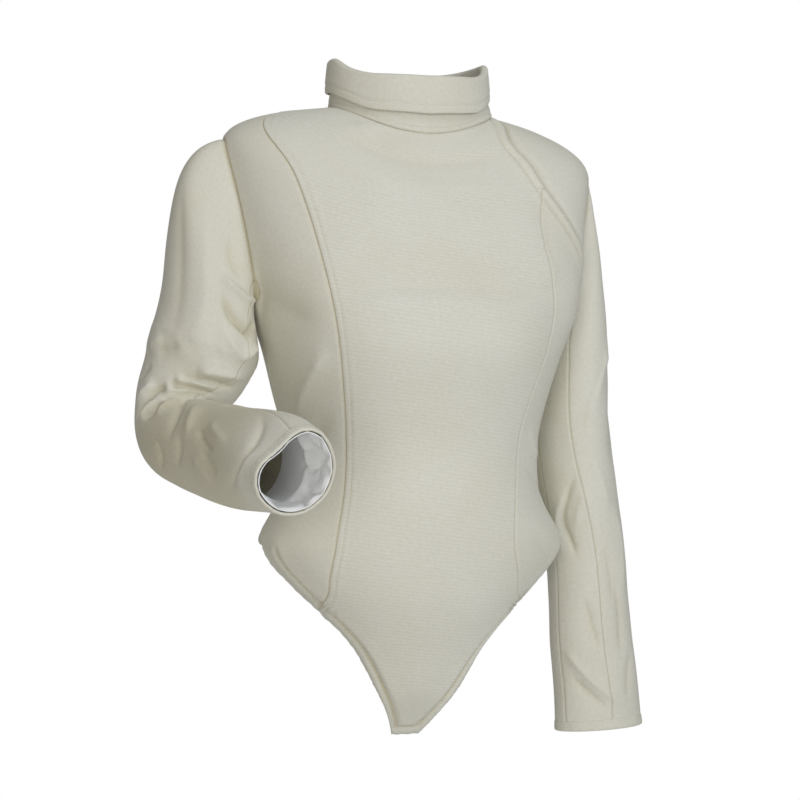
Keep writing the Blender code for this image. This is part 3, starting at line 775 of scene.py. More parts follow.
def lengths(points: Array, axis: int) -> Array:
    """Running length along one axis of a grid of points."""
    steps = np.linalg.norm(np.diff(points, axis=axis), axis=-1)
    start = np.zeros_like(np.take(steps, [0], axis=axis))
    return np.concatenate([start, np.cumsum(steps, axis=axis)], axis=axis)


def make_wall(name: str, outer: Array, inner: Array, painted_shade: Array | None = None,
              ring: bool = False) -> bpy.types.Object:
    """One closed wall between two skins of points.

    Args:
        name: the piece's name.
        outer: the outer skin's points, row by row.
        inner: the inner skin's points.
        painted_shade: how much painted shade darkens each point's colour, 0 to 1.
        ring: whether the last column joins the first.

    Returns:
        The piece, with a UV map in metres along its cloth.
    """
    rows, columns = outer.shape[:2]
    count = rows * columns
    ids = np.arange(count).reshape(rows, columns)
    closed = np.concatenate([outer, outer[:, :1]], axis=1) if ring else outer
    if ring:
        ids = np.concatenate([ids, ids[:, :1]], axis=1)
    wide = ids.shape[1]
    across = lengths(closed, 1)
    across = across - across[:, wide // 2:wide // 2 + 1]
    down = np.repeat(lengths(closed, 0)[:, wide // 2:wide // 2 + 1], wide, axis=1)
    places = np.stack([across, -down], axis=-1) * MILLIMETRE
    cells = np.arange(rows * wide).reshape(rows, wide)

    def quads(grid: Array) -> list[Array]:
        """The four corners of each cell of a grid."""
        first, second = (grid[:-1, :-1], grid[1:, :-1]), (grid[1:, 1:], grid[:-1, 1:])
        return [*first, *second]

    def block(corners: list[Array]) -> Array:
        """Corners as one row for each face."""
        return np.stack([corner.reshape(-1) for corner in corners], axis=-1)

    shell, spots = quads(ids), quads(cells)
    faces = [block(shell), block([corner + count for corner in reversed(shell)])]
    where = [block(spots), block(spots[::-1])]
    rims = [(ids[0], cells[0], 1), (ids[-1], cells[-1], -1)]
    if not ring:
        rims += [(ids[:, 0], cells[:, 0], -1), (ids[:, -1], cells[:, -1], 1)]
    for edge, spot, way in rims:
        edge, spot = edge[::way], spot[::way]
        faces.append(block([edge[:-1], edge[1:], edge[1:] + count, edge[:-1] + count]))
        where.append(block([spot[:-1], spot[1:], spot[1:], spot[:-1]]))
    mesh = bpy.data.meshes.new(name)
    points = np.concatenate([outer.reshape(-1, 3), inner.reshape(-1, 3)]) * MILLIMETRE
    mesh.from_pydata(points.tolist(), [], np.concatenate(faces).tolist())
    layer = mesh.uv_layers.new(name="UVMap")
    layer.data.foreach_set("uv", places.reshape(-1, 2)[np.concatenate(where).reshape(-1)].reshape(-1))
    shades = mesh.attributes.new("painted_shade", "FLOAT", "POINT")
    tones = np.zeros(count) if painted_shade is None else painted_shade.reshape(-1)
    shades.data.foreach_set("value", np.concatenate([tones, tones]))
    mesh.shade_smooth()
    mesh.set_sharp_from_angle(angle=math.radians(60))
    return link(name, mesh)


class Hold(Enum):
    """How a sheet is held."""

    HUNG = "hung"
    FOLDED = "folded"


def dress(piece: bpy.types.Object, material: bpy.types.Material, node: str) -> None:
    """Gives a sheet of cloth its finish, hangs it from the root and hides the solid it replaces.

    Args:
        piece: the piece.
        material: its finish.
        node: the solid it replaces.
    """
    piece.data.materials.append(material)
    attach(piece, "root")
    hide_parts(node)


def spread(start: Array, end: Array, size: Array, columns: int, fine: float = 14.2) -> Array:
    """Places across each row, closer together near the two edges.

    Args:
        start: where each row starts.
        end: where each row ends.
        size: millimetres per unit across.
        columns: how many places to give.
        fine: millimetres of close spacing at either edge.

    Returns:
        The places, a row of them for each row.
    """
    # millimetres from an edge to its close places, where the close spacing is 14.2 mm
    near = np.array([0.0, 0.6, 1.2, 1.9, 2.7, 3.6, 4.6, 5.8, 7.0, 8.2, 9.5, 10.7, 11.9, 13.1]) / 14.2
    total = (end - start) * size
    share = np.minimum(fine / np.maximum(total, 1e-6), 0.33)[:, None]
    middle = share + (1 - 2 * share) * np.linspace(0, 1, columns - 2 * len(near))
    shares = np.concatenate([near * share, middle, (1 - near[::-1] * share)], axis=1)
    return start[:, None] + (end - start)[:, None] * shares


# ------------------------------------------------------------------ seams on cloth
@dataclass(frozen=True)
class Edge:
    """A seam or hem that shapes the cloth beside it.

    Attributes:
        line: the seam's points.
        profile: how the cloth stands beside it.
        pucker: millimetres by which stitching draws it up.
        spacing: millimetres between puckers.
        pucker_reach: millimetres over which they die away from the seam.
        shaded_at: millimetres by which the cloth sinks where it is shaded most.
        shading: how dark it is there, 0 to 1.
        beyond: true at each point where the cloth lies past the seam, beneath its neighbour.
    """

    line: Array
    profile: Profile
    pucker: float = 0.0
    spacing: float = 9.0
    pucker_reach: float = 7.0
    shaded_at: float = 1.4
    shading: float = 0.6
    beyond: Array | None = None

    def raise_cloth(self, points: Array) -> tuple[Array, Array]:
        """How far the edge raises cloth, and how much it shades it.

        Args:
            points: points of the smooth form.

        Returns:
            The rise in millimetres and the shade from 0 to 1 at each point.
        """
        reach = self.profile.value[-1][0] + 1.0
        rise, shade = np.zeros((2, points[..., 0].size))
        near, away, along = nearest(points, self.line, reach)
        if self.beyond is not None:
            away = np.where(self.beyond.reshape(-1)[near], 0.0, away)
        height = self.profile.height(away)
        run = along * np.linalg.norm(np.diff(self.line, axis=0), axis=1).sum() / self.spacing
        ripple = np.sin(6.28 * run) + 0.6 * np.sin(6.28 * run * 0.37 + 1.3)
        rise[near] = height + self.pucker * ripple * np.exp(-((away / self.pucker_reach) ** 2))
        # painted shade: cloth sunk beside a seam or beneath the flap is painted darker, the deeper the darker
        shade[near] = np.clip(-height / self.shaded_at, 0, 1) * self.shading
        return rise.reshape(points.shape[:-1]), shade.reshape(points.shape[:-1])


@dataclass
class Stitching:
    """Topstitching: lines of points that Geometry Nodes sets with thread.

    Attributes:
        pitch: millimetres from one stitch to the next.
        length: millimetres of thread that show in a stitch.
        thickness: millimetres across the thread.
        stands_off: millimetres by which a line of stitches stands off the cloth.
        lines: the lines of each part.
    """

    pitch: float = 3.4
    length: float = 2.3
    thickness: float = 0.55
    stands_off: float = 0.12
    lines: dict[str, list[Array]] = field(default_factory=dict)

    def sew(self, part: str, line: Array, normal: Array | None = None) -> None:
        """Adds a line of stitches to a part.

        Args:
            part: the piece that the stitches belong to.
            line: the line's points.
            normal: the cloth's normals there, along which the stitches stand off it.
        """
        raised = line if normal is None else line + normal * self.stands_off
        self.lines.setdefault(part, []).append(raised)

    def tree(self) -> bpy.types.GeometryNodeTree:
        """The node tree that lays one stitch after another along each line."""
        tree = bpy.data.node_groups.new("Run of stitches", "GeometryNodeTree")
        sockets = tree.interface
        sockets.new_socket("Geometry", in_out="INPUT", socket_type="NodeSocketGeometry")
        for name in ("Pitch", "Length", "Thickness"):
            sockets.new_socket(name, in_out="INPUT", socket_type="NodeSocketFloat")
        sockets.new_socket("Thread", in_out="INPUT", socket_type="NodeSocketMaterial")
        sockets.new_socket("Geometry", in_out="OUTPUT", socket_type="NodeSocketGeometry")
        given = add(tree, "NodeGroupInput")
        curve = add(tree, "GeometryNodeMeshToCurve", {"Mesh": given.outputs["Geometry"]})
        spots = add(tree, "GeometryNodeCurveToPoints", {"Curve": curve.outputs["Curve"],
                                                        "Length": given.outputs["Pitch"]}, mode="LENGTH")
        turned = add(tree, "FunctionNodeAlignRotationToVector", {"Vector": spots.outputs["Tangent"]},
                     axis="X")
        size = add(tree, "ShaderNodeCombineXYZ", {
            "X": given.outputs["Length"], "Y": given.outputs["Thickness"], "Z": given.outputs["Thickness"]})
        stitch = add(tree, "GeometryNodeMeshUVSphere", {"Segments": 6, "Rings": 4, "Radius": 0.5})
        laid = add(tree, "GeometryNodeInstanceOnPoints", {
            "Points": spots.outputs["Points"], "Instance": stitch.outputs["Mesh"],
            "Rotation": turned.outputs["Rotation"], "Scale": size.outputs["Vector"]})
        real = add(tree, "GeometryNodeRealizeInstances", {"Geometry": laid.outputs["Instances"]})
        coated = add(tree, "GeometryNodeSetMaterial", {"Geometry": real.outputs["Geometry"],
                                                       "Material": given.outputs["Thread"]})
        add(tree, "NodeGroupOutput", {"Geometry": coated.outputs["Geometry"]})
        return tree

    def build(self, thread: bpy.types.Material) -> None:
        """Makes one piece of stitches for each part."""
        tree = self.tree()
        keys = {item.name: item.identifier for item in tree.interface.items_tree if item.in_out == "INPUT"}
        for part, lines in self.lines.items():
            points = np.concatenate(lines) * MILLIMETRE
            starts = np.cumsum([0] + [len(line) for line in lines])
            runs = [(index, index + 1) for start, end in zip(starts[:-1], starts[1:])
                    for index in range(start, end - 1)]
            mesh = bpy.data.meshes.new(part)
            mesh.from_pydata(points.tolist(), runs, [])
            guide = link(f"{part}_guide", mesh)
            modifier = guide.modifiers.new("Stitches", "NODES")
            modifier.node_group = tree
            modifier[keys["Pitch"]] = self.pitch * MILLIMETRE
            modifier[keys["Length"]] = self.length * MILLIMETRE
            modifier[keys["Thickness"]] = self.thickness * MILLIMETRE
            modifier[keys["Thread"]] = thread
            graph = bpy.context.evaluated_depsgraph_get()
            sewn = bpy.data.meshes.new_from_object(guide.evaluated_get(graph))
            sewn.name = part
            sewn.shade_smooth()
            bpy.data.objects.remove(guide)
            piece = link(part, sewn)
            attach(piece, "root")
            LOG.info("%s: %d faces", part, len(sewn.polygons))


# ------------------------------------------------------------------ the torso
@dataclass
class Torso:
    """The body panels: front, two side fronts, the left under front and two backs.

    Attributes:
        form: the body's form.
        finishes: the materials.
        stitching: where its stitches are kept.
        wall: millimetres of cloth.
        tuck: how far the right side front runs beneath the front.
        flap_overlap: degrees by which the under front runs beneath the flap.
        flap_drop: how deep it lies there.
        flap_rise: where it starts to rise beyond the flap's edge, and over what width.
        neck_turn: how far the cloth turns in and up inside the neckband.
        hem_widths: from the right and left outline to the hem's stitching, as seen from the front.
        princess_stitch: from the right princess seam to its topstitching.
        flap_stitch: from the flap's edge to its topstitching.
        front_columns: places across the front, and so on for the other panels.
        creases: its creases.
    """

    form: BodyForm
    finishes: Finishes
    stitching: Stitching
    wall: float = 1.0
    tuck: float = 3.0
    flap_overlap: float = 7.0
    flap_drop: float = 3.0
    flap_rise: tuple[float, float] = (1.5, 12.0)
    neck_turn: tuple[float, float] = (1.7, 3.0)
    hem_widths: tuple[float, float] = (5.5, 10.5)
    princess_stitch: float = 6.8
    flap_stitch: float = 9.2
    front_columns: int = 122
    side_right_columns: int = 72
    side_left_columns: int = 74
    under_columns: int = 50
    back_columns: int = 88
    creases: tuple[Crease, ...] = (
        Crease(((-40, 3.4), (-14, 3.56), (14, 3.54), (44, 3.36)), -5.0, 40, (0.3, 0.3)),
        Crease(((-46, 3.7), (-24, 3.84), (8, 3.8), (34, 3.85), (52, 3.64)), -2.2, 11, (0.3, 0.3)),
        Crease(((-46, 4.2), (-16, 4.08), (16, 4.1), (44, 4.16)), 2.4, 20, (0.3, 0.3)),
        Crease(((-44, 0.75), (-28, 1.15), (-4, 1.45), (20, 1.35), (32, 0.95)), -3.0, 12, (0.3, 0.3)),
        Crease(((-40, 1.9), (-12, 2.15), (14, 2.15), (34, 1.9)), 2.4, 20, (0.4, 0.4)),
        Crease(((-44, 0.2), (-36, 0.55), (-26, 0.75)), 2.4, 8),
        Crease(((34, 2.6), (38, 3.1), (42, 3.5)), -1.8, 12),
        Crease(((-43, 4.5), (-57, 4.3), (-72, 4.05), (-84, 3.9)), -6.5, 27, (0.45, 0.1)),
        Crease(((-45, 4.95), (-55, 5.45), (-64, 5.9), (-76, 6.5)), 4.6, 11, (0.3, 0.35)),
        Crease(((-52, 6.2), (-62, 6.7), (-74, 7.2)), -2.2, 10),
        Crease(((-64, 6.9), (-54, 6.5), (-47, 6.1)), -1.4, 8),
        Crease(((-34, 0.35), (-26, 0.75), (-12, 1.0)), -1.6, 13),
        Crease(((58, 0.5), (46, 1.1), (40, 1.6)), -1.2, 12),
        Crease(((50, 6.5), (60, 6.9), (72, 7.2)), 1.8, 8),
        Crease(((48, 7.2), (60, 7.6), (76, 7.9)), -1.6, 7),
        Crease(((40, 8.4), (56, 8.9), (74, 9.3)), 1.4, 6),
        Crease(((38, 8.7), (54, 9.2), (70, 9.6)), -1.0, 5),
        Crease(((120, 6.4), (140, 6.8), (162, 7.0)), 2.0, 10),
        Crease(((108, 7.0), (128, 7.4), (150, 7.5)), -1.8, 9),
        Crease(((-118, 6.5), (-138, 6.9), (-164, 7.1)), 2.0, 11),
        Crease(((-106, 7.2), (-126, 7.5), (-148, 7.7)), -1.6, 9),
        Crease(((116, 2.6), (130, 3.4), (138, 4.2)), -2.2, 12),
        Crease(((-114, 2.7), (-128, 3.5), (-134, 4.3)), -2.2, 12),
        Crease(((168, 0.5), (180, 0.8), (192, 0.5)), -1.5, 10),
    )

    def cloth(self) -> Cloth:
        """The creased form of the torso."""
        return Cloth(self.form.point, 1, 0.0, self.form.last, list(self.creases), painted_darkening=0.08)

    def directions(self, angle: Array, station: Array) -> Array:
        """The form's normals, turned square to the tongue towards its tip."""
        cloth = self.cloth()
        starts = self.form.tongue_flattens
        flat = ease((station - starts) / (self.form.last - starts))[..., None]
        return unit(cloth.normal(angle, station) * (1 - flat)
                    + cloth.normal(np.zeros_like(angle), station) * flat)

    def under_drop(self, angle: Array, station: Array) -> Array:
        """How the left under front lies beneath the flap and rises to the form beyond it."""
        past = (angle - self.form.seam("closing", station)) * self.form.degree(angle, station)
        start, width = self.flap_rise
        return self.form.bulge(angle, station) - self.flap_drop * (1 - ease((past - start) / width))

    def skin(self, angle: Array, station: Array, stands: Callable[[Array, Array], Array] | None,
             edges: Sequence[Edge]) -> tuple[Array, Array, Array, Array]:
        """The cloth at these places.

        Args:
            angle: degrees round the body.
            station: stations down it.
            stands: how far this panel stands off the form.
            edges: the panel's seams and hems.

        Returns:
            The smooth points, the creased points, the normals and the shade.
        """
        smooth = self.form.point(angle, station)
        normal = self.directions(angle, station)
        rise = self.cloth().relief(smooth)
        # painted shade: the cloth's colour is darkened in its troughs and, below, beside sunk seam edges
        shade = self.cloth().soil_and_shade(rise)
        if stands is not None:
            rise = rise + stands(angle, station)
        for edge in edges:
            height, tone = edge.raise_cloth(smooth)
            rise, shade = rise + height, np.maximum(shade, tone)
        return smooth, smooth + normal * rise[..., None], normal, shade

    def seam_line(self, angle: Callable[[Array], Array], first: float, last: float,
                  count: int = 160) -> Array:
        """Points of a seam whose angle is known at each station.

        Args:
            angle: gives the seam's angles at stations.
            first: the station where it starts.
            last: the station where it ends.
            count: how many points to give.

        Returns:
            The points, in millimetres.
        """
        stations = np.linspace(first, last, count)
        return self.form.point(angle(stations), stations)

    def princess_line(self, name: str, first: float) -> Array:
        """Points of a princess seam, from this station to the leg hem."""
        return self.seam_line(lambda at: self.form.seam(name, at), first, self.form.princess_end)

    def princess(self) -> Edge:
        """The front where it laps over the right princess seam."""
        line = self.princess_line("right_princess", self.form.princess_top)
        return Edge(line, Profile.LAPPED, pucker=0.18, spacing=10.0)

    def flap(self, profile: Profile = Profile.FLAP) -> Edge:
        """The closing flap's free edge."""
        line = self.seam_line(lambda at: self.form.seam("closing", at), 0.0, self.form.flap_ends)
        return Edge(line, profile, pucker=0.2 if profile is Profile.FLAP else 0.0, spacing=13.0)

    def straight_line(self, angle: float, first: float, last: float, count: int) -> Array:
        """Points of a seam that keeps its angle.

        Args:
            angle: the seam's angle in degrees.
            first: the station where it starts.
            last: the station where it ends.
            count: how many points to give.

        Returns:
            The points, in millimetres.
        """
        return self.seam_line(lambda at: np.full_like(at, angle), first, last, count)

    def armhole_line(self, side: int) -> Array:
        """Points round an armhole."""
        angle, station = self.form.armhole(np.radians(np.linspace(0, 360, 181)))
        return self.form.point(side * angle, station)

    def hem_line(self) -> Array:
        """Points along the leg hem, from the right hip round the tip to the left hip."""
        hip, last = self.form.hip, self.form.last
        down, up = np.linspace(hip, last, 110), np.linspace(last, hip, 110)
        over = np.linspace(-90, 90, 15)[1:-1]
        angle = np.concatenate([np.full(110, -90.0), over, np.full(110, 90.0)])
        return self.form.point(angle, np.concatenate([down, np.full(13, last), up]))

    def hem_places(self) -> tuple[Array, Array]:
        """Angle and station of the leg hem's stitching, inside its edge as it is seen from the front."""
        down = np.linspace(self.form.hip + 0.1, self.form.last - 0.4, 150)
        half_width, power = (self.form.sections.at(name, down) for name in ("half_width", "power"))
        right, left = (np.degrees(np.arcsin((1 - width / half_width) ** (power / 2)))
                       for width in self.hem_widths)
        over = np.linspace(-right[-1], left[-1], 12)[1:-1]
        station = np.concatenate([down, np.full(10, down[-1]), down[::-1]])
        return np.concatenate([-right, over, left[::-1]]), station

    def back_hem_places(self) -> tuple[Array, Array]:
        """Angle and station of the back hem's stitching."""
        angle = np.linspace(96, 264, 200)
        return angle, np.full_like(angle, self.form.hip - 0.28)

    def leg_hem(self) -> list[Edge]:
        """The leg hem's edge and its stitched welt."""
        return [Edge(self.hem_line(), Profile.HEM, pucker=0.3),
                Edge(self.form.point(*self.hem_places()), Profile.WELT, pucker=0.25, spacing=8.0)]

    def back_hem(self) -> list[Edge]:
        """The back hem's edge and its stitching."""
        edge = self.form.point(np.linspace(90, 270, 120), np.full(120, self.form.hip))
        return [Edge(edge, Profile.HEM, pucker=0.1),
                Edge(self.form.point(*self.back_hem_places()), Profile.FAINT, pucker=0.1, spacing=8.0)]

    def outer_seams(self, side: int) -> list[Edge]:
        """The shoulder seam, side seam and armhole of one side."""
        top, foot = self.form.armhole_stations
        return [Edge(self.straight_line(90.0 * side, 0.0, top, 40), Profile.FAINT),
                Edge(self.straight_line(90.0 * side, foot, self.form.hip, 60), Profile.FAINT),
                Edge(self.armhole_line(side), Profile.VALLEY, pucker=0.1, spacing=11.0)]

    def panel(self, node: str, angle: Array, stations: Array, edges: Sequence[Edge],
              material: bpy.types.Material, stands: Callable[[Array, Array], Array] | None = None) -> None:
        """Makes one panel from its grid of places.

        Args:
            node: the solid it stands for.
            angle: degrees round the body, a row for each station.
            stations: the rows' stations.
            edges: its seams and hems.
            material: its finish.
            stands: how far it stands off the form.
        """
        station = np.repeat(stations[:, None], angle.shape[1], axis=1)
        smooth, outer, normal, shade = self.skin(angle, station, stands, edges)
        inner = outer - normal * self.wall
        if stations[0] == 0:
            aside = unit(normal[:1] * np.array([1.0, 1.0, 0.0]))
            turned_in, up = self.neck_turn
            turned_up = outer[:1] + np.array([0.0, 0.0, up]) - aside * turned_in
            outer = np.concatenate([turned_up, outer])
            inner = np.concatenate([turned_up - aside * self.wall, inner])
            shade = np.concatenate([shade[:1], shade])
        piece = make_wall(f"{node}_cloth", outer, inner, shade)
        dress(piece, material, node)

    def build(self) -> None:
        """Makes every panel of the torso."""
        upper, leg = self.form.rows()
        every = np.concatenate([upper, leg])
        self.build_front(every)
        self.build_side_right(every)
        self.build_side_left(every)
        self.build_under(upper)
        self.build_backs(upper)
        self.sew()

    def left_princess(self) -> Edge:
        """The left princess seam, which lies flat."""
        line = self.princess_line("left_princess", self.form.left_princess_top)
        return Edge(line, Profile.FAINT, pucker=0.08, spacing=12.0)

    def build_front(self, rows: Array) -> None:
        """Makes the front, which laps over the right side front and, as the flap, over the left."""
        form = self.form
        start = np.where(rows < form.princess_top, -90, form.seam("right_princess", rows))
        in_flap = rows < form.left_princess_top
        end = np.where(in_flap, form.seam("closing", rows), form.seam("left_princess", rows))
        size = form.degree(np.zeros_like(rows), rows)
        angle = spread(start, end, size, self.front_columns)
        edges = [self.princess(), self.left_princess(), self.flap(), *self.leg_hem()]
        self.panel("front_panel", angle, rows, edges, self.finishes.front, form.bulge)

    def build_side_right(self, every: Array) -> None:
        """Makes the right side front, tucked beneath the front."""
        form = self.form
        rows = every[(every > form.princess_top - 0.04) & (every < form.princess_end + 0.02)]
        size = form.degree(np.full_like(rows, -60.0), rows)
        seam = form.seam("right_princess", rows)
        edge = form.outer_edge(rows, -1, True)
        angle = spread(edge, seam + self.tuck / size, size, self.side_right_columns)
        line = self.princess_line("right_princess", form.princess_top)
        sunk = Edge(line, Profile.SUNK, pucker=0.1, spacing=10.0, beyond=angle > seam[:, None])
        edges = [*self.outer_seams(-1), sunk, *self.leg_hem()]
        self.panel("side_front_right", angle, rows, edges, self.finishes.plain)

    def build_side_left(self, every: Array) -> None:
        """Makes the left side front, whose outer edge is the lower part of the closing flap."""
        form = self.form
        rows = every[(every > form.left_princess_top) & (every < form.princess_end + 0.02)]
        size = form.degree(np.full_like(rows, 60.0), rows)
        seam = form.seam("left_princess", rows)
        edge = np.minimum(form.seam("closing", rows), form.outer_edge(rows, 1, True))
        edge = np.maximum(edge, seam + 0.4 / size)
        angle = spread(seam + 0.1 / size, edge, size, self.side_left_columns)
        _, side, _ = self.outer_seams(1)
        edges = [side, self.left_princess(), self.flap(), *self.leg_hem()]
        self.panel("side_front_left", angle, rows, edges, self.finishes.plain, form.bulge)

    def build_under(self, rows: Array) -> None:
        """Makes the left under front, which runs beneath the flap."""
        form = self.form
        size = form.degree(np.full_like(rows, 80.0), rows)
        edge = form.outer_edge(rows, 1, True)
        start = np.minimum(form.seam("closing", rows), edge) - self.flap_overlap
        angle = spread(start, edge, size, self.under_columns)
        edges = [*self.outer_seams(1), self.flap(Profile.BENEATH)]
        self.panel("under_front_left", angle, rows, edges, self.finishes.plain, self.under_drop)

    def build_backs(self, rows: Array) -> None:
        """Makes the two backs."""
        form = self.form
        line = self.straight_line(180.0, 0.0, form.hip, 150)
        middle = Edge(line, Profile.FAINT, pucker=0.05, spacing=12.0)
        size = form.degree(np.full_like(rows, 135.0), rows)
        for side, node in ((-1, "back_right"), (1, "back_left")):
            edge, centre = form.outer_edge(rows, side, False), side * (180.0 - 0.1 / size)
            angle = spread(*((centre, edge) if side < 0 else (edge, centre)), size, self.back_columns)
            edges = [*self.outer_seams(side), middle, *self.back_hem()]
            self.panel(node, angle, rows, edges, self.finishes.plain)

    def sewn(self, angle: Array, station: Array, stands: Callable[[Array, Array], Array] | None,
             edges: Sequence[Edge]) -> None:
        """Sews one line of stitches.

        Args:
            angle: degrees round the body.
            station: stations down it.
            stands: how far the cloth stands off the form there.
            edges: the seams and hems that shape the cloth there.
        """
        _, points, normal, _ = self.skin(angle, station, stands, edges)
        self.stitching.sew("stitches_body", points, normal)

    def sew(self) -> None:
        """Sews the topstitching of the torso."""
        form = self.form
        at = np.linspace(form.princess_top + 0.02, 9.6, 240)
        seam = form.seam("right_princess", at)
        self.sewn(seam + self.princess_stitch / form.degree(seam, at), at, form.bulge, [self.princess()])
        at = np.linspace(0.02, form.flap_ends - 0.05, 160)
        seam = form.seam("closing", at)
        self.sewn(seam - self.flap_stitch / form.degree(seam, at), at, form.bulge, [self.flap()])
        self.sewn(*self.hem_places(), form.bulge, self.leg_hem())
        self.sewn(*self.back_hem_places(), None, self.back_hem()[1:])


# ------------------------------------------------------------------ the sleeves
@dataclass
class Sleeve:
    """One set-in sleeve of three pieces, with its turned cuff hem.

    Attributes:
        name: "right" or "left".
        form: the sleeve's form.
        finishes: the materials.
        stitching: where its stitches are kept.
        creases: its creases.
        painted_darkening: how much darker the forearm's colour is painted.
        darkened_steps: steps where that starts, is full, fades and ends.
        wall: millimetres of cloth.
        tuck: how far the sleeve's edge turns in beneath the body's.
        tuck_depth: how deep the turned edge lies there, and how deep the cloth's inner skin.
        hem: millimetres of cuff hem.
        row_counts: rows of the cap and of the arm.
        pieces: each piece's name, its two seams and its places across.
    """

    name: str
    form: SleeveForm
    finishes: Finishes
    stitching: Stitching
    creases: tuple[Crease, ...]
    painted_darkening: float = 0.0
    darkened_steps: tuple[float, float, float, float] = (2.4, 3.4, 5.4, 6.6)
    wall: float = 1.0
    tuck: float = 2.5
    tuck_depth: tuple[float, float] = (1.7, 0.6)
    hem: float = 11.0
    row_counts: tuple[int, int] = (59, 181)
    pieces: tuple[tuple[str, str, str, int], ...] = (
        ("outer", "back", "fore", 104), ("fore", "fore", "inner", 48), ("under", "inner", "back", 64))

    def cloth(self) -> Cloth:
        """The creased form of the sleeve."""
        return Cloth(self.form.point, -self.form.side, -1.0, self.form.last, list(self.creases), 0.8)

    @property
    def hem_start(self) -> float:
        """The step where the cuff hem starts."""
        rows = self.form.sections.rows
        return self.form.last - self.hem / math.dist(rows["wrist"][:3], rows["rim"][:3])

    def seam_turn(self, name: str, step: Array) -> Array:
        """Turn of a long seam at these steps."""
        return self.form.seams.at(name, step + 1)

    def build(self) -> None:
        """Makes the three pieces and the cuff hem."""
        form, side = self.form, self.form.side
        cap_rows, arm_rows = self.row_counts
        cap = -1 + (np.linspace(0, 1, cap_rows) ** 1.15)
        steps = np.concatenate([cap, np.linspace(0, self.hem_start, arm_rows)[1:]])
        armhole = form.body.point(*self.armhole_places())
        lines = {name: form.point(self.seam_turn(name, steps), steps) for name in ("fore", "inner", "back")}
        cloth = self.cloth()
        for node, first, last, columns in self.pieces:
            start, end = self.seam_turn(first, steps), self.seam_turn(last, steps)
            end = np.where(end < start, end + 360, end)
            size = np.linalg.norm(form.point((start + end) / 2 + 0.5, steps)
                                  - form.point((start + end) / 2 - 0.5, steps), axis=-1)
            turn = spread(start + 0.1 / size, end - 0.1 / size, size, columns, 10.0)
            step = np.repeat(steps[:, None], turn.shape[1], axis=1)
            smooth, normal = form.point(turn, step), cloth.normal(turn, step)
            rise = cloth.relief(smooth) * ease((step + 1) / 0.06)
            # painted shade in the troughs, and the forearm's colour made darker along its length
            shade = np.maximum(cloth.soil_and_shade(rise), self.worn(step))
            seams = [Edge(lines[name], Profile.FAINT, pucker=0.1, spacing=12.0) for name in (first, last)]
            for edge in (Edge(armhole, Profile.SET_IN, pucker=0.12, spacing=11.0), *seams):
                height, tone = edge.raise_cloth(smooth)
                rise, shade = rise + height, np.maximum(shade, tone)
            outer = smooth + normal * rise[..., None]
            inner = outer - normal * self.wall
            outer, inner = self.tucked(turn[:1], outer, inner)
            shade = np.concatenate([shade[:1], shade])
            piece = make_wall(f"sleeve_{self.name}_{node}_cloth", outer[:, ::-side], inner[:, ::-side],
                              shade[:, ::-side])
            dress(piece, self.finishes.plain, f"sleeve_{self.name}_{node}")
        self.build_hem()

    def worn(self, step: Array) -> Array:
        """How much darker the forearm's colour is painted along its length."""
        start, full, fades, end = self.darkened_steps
        return self.painted_darkening * ease((step - start) / (full - start)) * ease((end - step) / (end - fades))

    def tucked(self, turn: Array, outer: Array, inner: Array) -> tuple[Array, Array]:
        """Turns a sleeve piece in beneath the body's edge.

        Args:
            turn: turns of its first row.
            outer: its outer skin.
            inner: its inner skin.

        Returns:
            Both skins, with one more row each.
        """
        hole, inward = self.form.ring(turn)
        angle, station = self.form.body.armhole(np.radians(turn))
        body = Cloth(self.form.body.point, 1, 0.0, self.form.body.last)
        beneath = body.normal(self.form.side * angle, station)
        edge_depth, inner_depth = self.tuck_depth
        seat = hole - inward * self.tuck - beneath * edge_depth
        return (np.concatenate([seat, outer]),
                np.concatenate([seat - beneath * self.wall, inner[:1] - beneath * inner_depth, inner[1:]]))

    def armhole_places(self) -> tuple[Array, Array]:
        """Angle and station of points round the armhole."""
        angle, station = self.form.body.armhole(np.radians(np.linspace(0, 360, 181)))
        return self.form.side * angle, station

    def tube(self, turn: Array, step: Array) -> tuple[Array, Array]:
        """Points and normals of the arm near its cuff, without creases."""
        normal = self.cloth().normal(turn, step)
        run = self.form.frames(step)[3]
        return self.form.arm(turn, step), unit(normal - run * np.sum(normal * run, axis=-1, keepdims=True))

    def build_hem(self) -> None:
        """Makes the turned cuff hem, a flat ring of folded cloth with a round rim."""
        section = Table(("share", "outer", "inner"), {
            "sewn edge": (0.0, -0.2, -1.2), "groove": (0.04, 0.25, -2.0), "rise": (0.1, 0.55, -2.2),
            "first": (0.2, 0.35, -2.2), "swell": (0.3, 0.8, -2.2), "second": (0.42, 0.55, -2.2),
            "full": (0.58, 1.0, -2.2), "round": (0.78, 1.0, -2.1), "turn": (0.9, 0.8, -1.8),
            "lip": (0.97, 0.3, -1.2), "rim": (1.0, -0.45, -0.55)})
        turns = np.linspace(0, 360, 120, endpoint=False)
        steps = self.hem_start + (self.form.last - self.hem_start) * section.column("share")
        turn, step = np.meshgrid(turns, steps)
        smooth, normal = self.tube(turn, step)
        wave = 0.16 * np.sin(np.radians(turn) * 9) + 0.12 * np.sin(np.radians(turn) * 23 + 1)
        outer = smooth + normal * (section.column("outer")[:, None] + wave)[..., None]
        inner = smooth + normal * (section.column("inner")[:, None] + wave)[..., None]
        side = self.form.side
        piece = make_wall(f"cuff_hem_{self.name}_cloth", outer[:, ::-side], inner[:, ::-side], ring=True)
        dress(piece, self.finishes.plain, f"cuff_hem_{self.name}")
        around = np.linspace(0, 360, 181)
        for row in ("first", "second"):
            share = section.rows[row][0]
            step = np.full(181, self.hem_start + (self.form.last - self.hem_start) * share)
            points, out = self.tube(around, step)
            self.stitching.sew(f"stitches_cuff_{self.name}", points + out * 0.55)


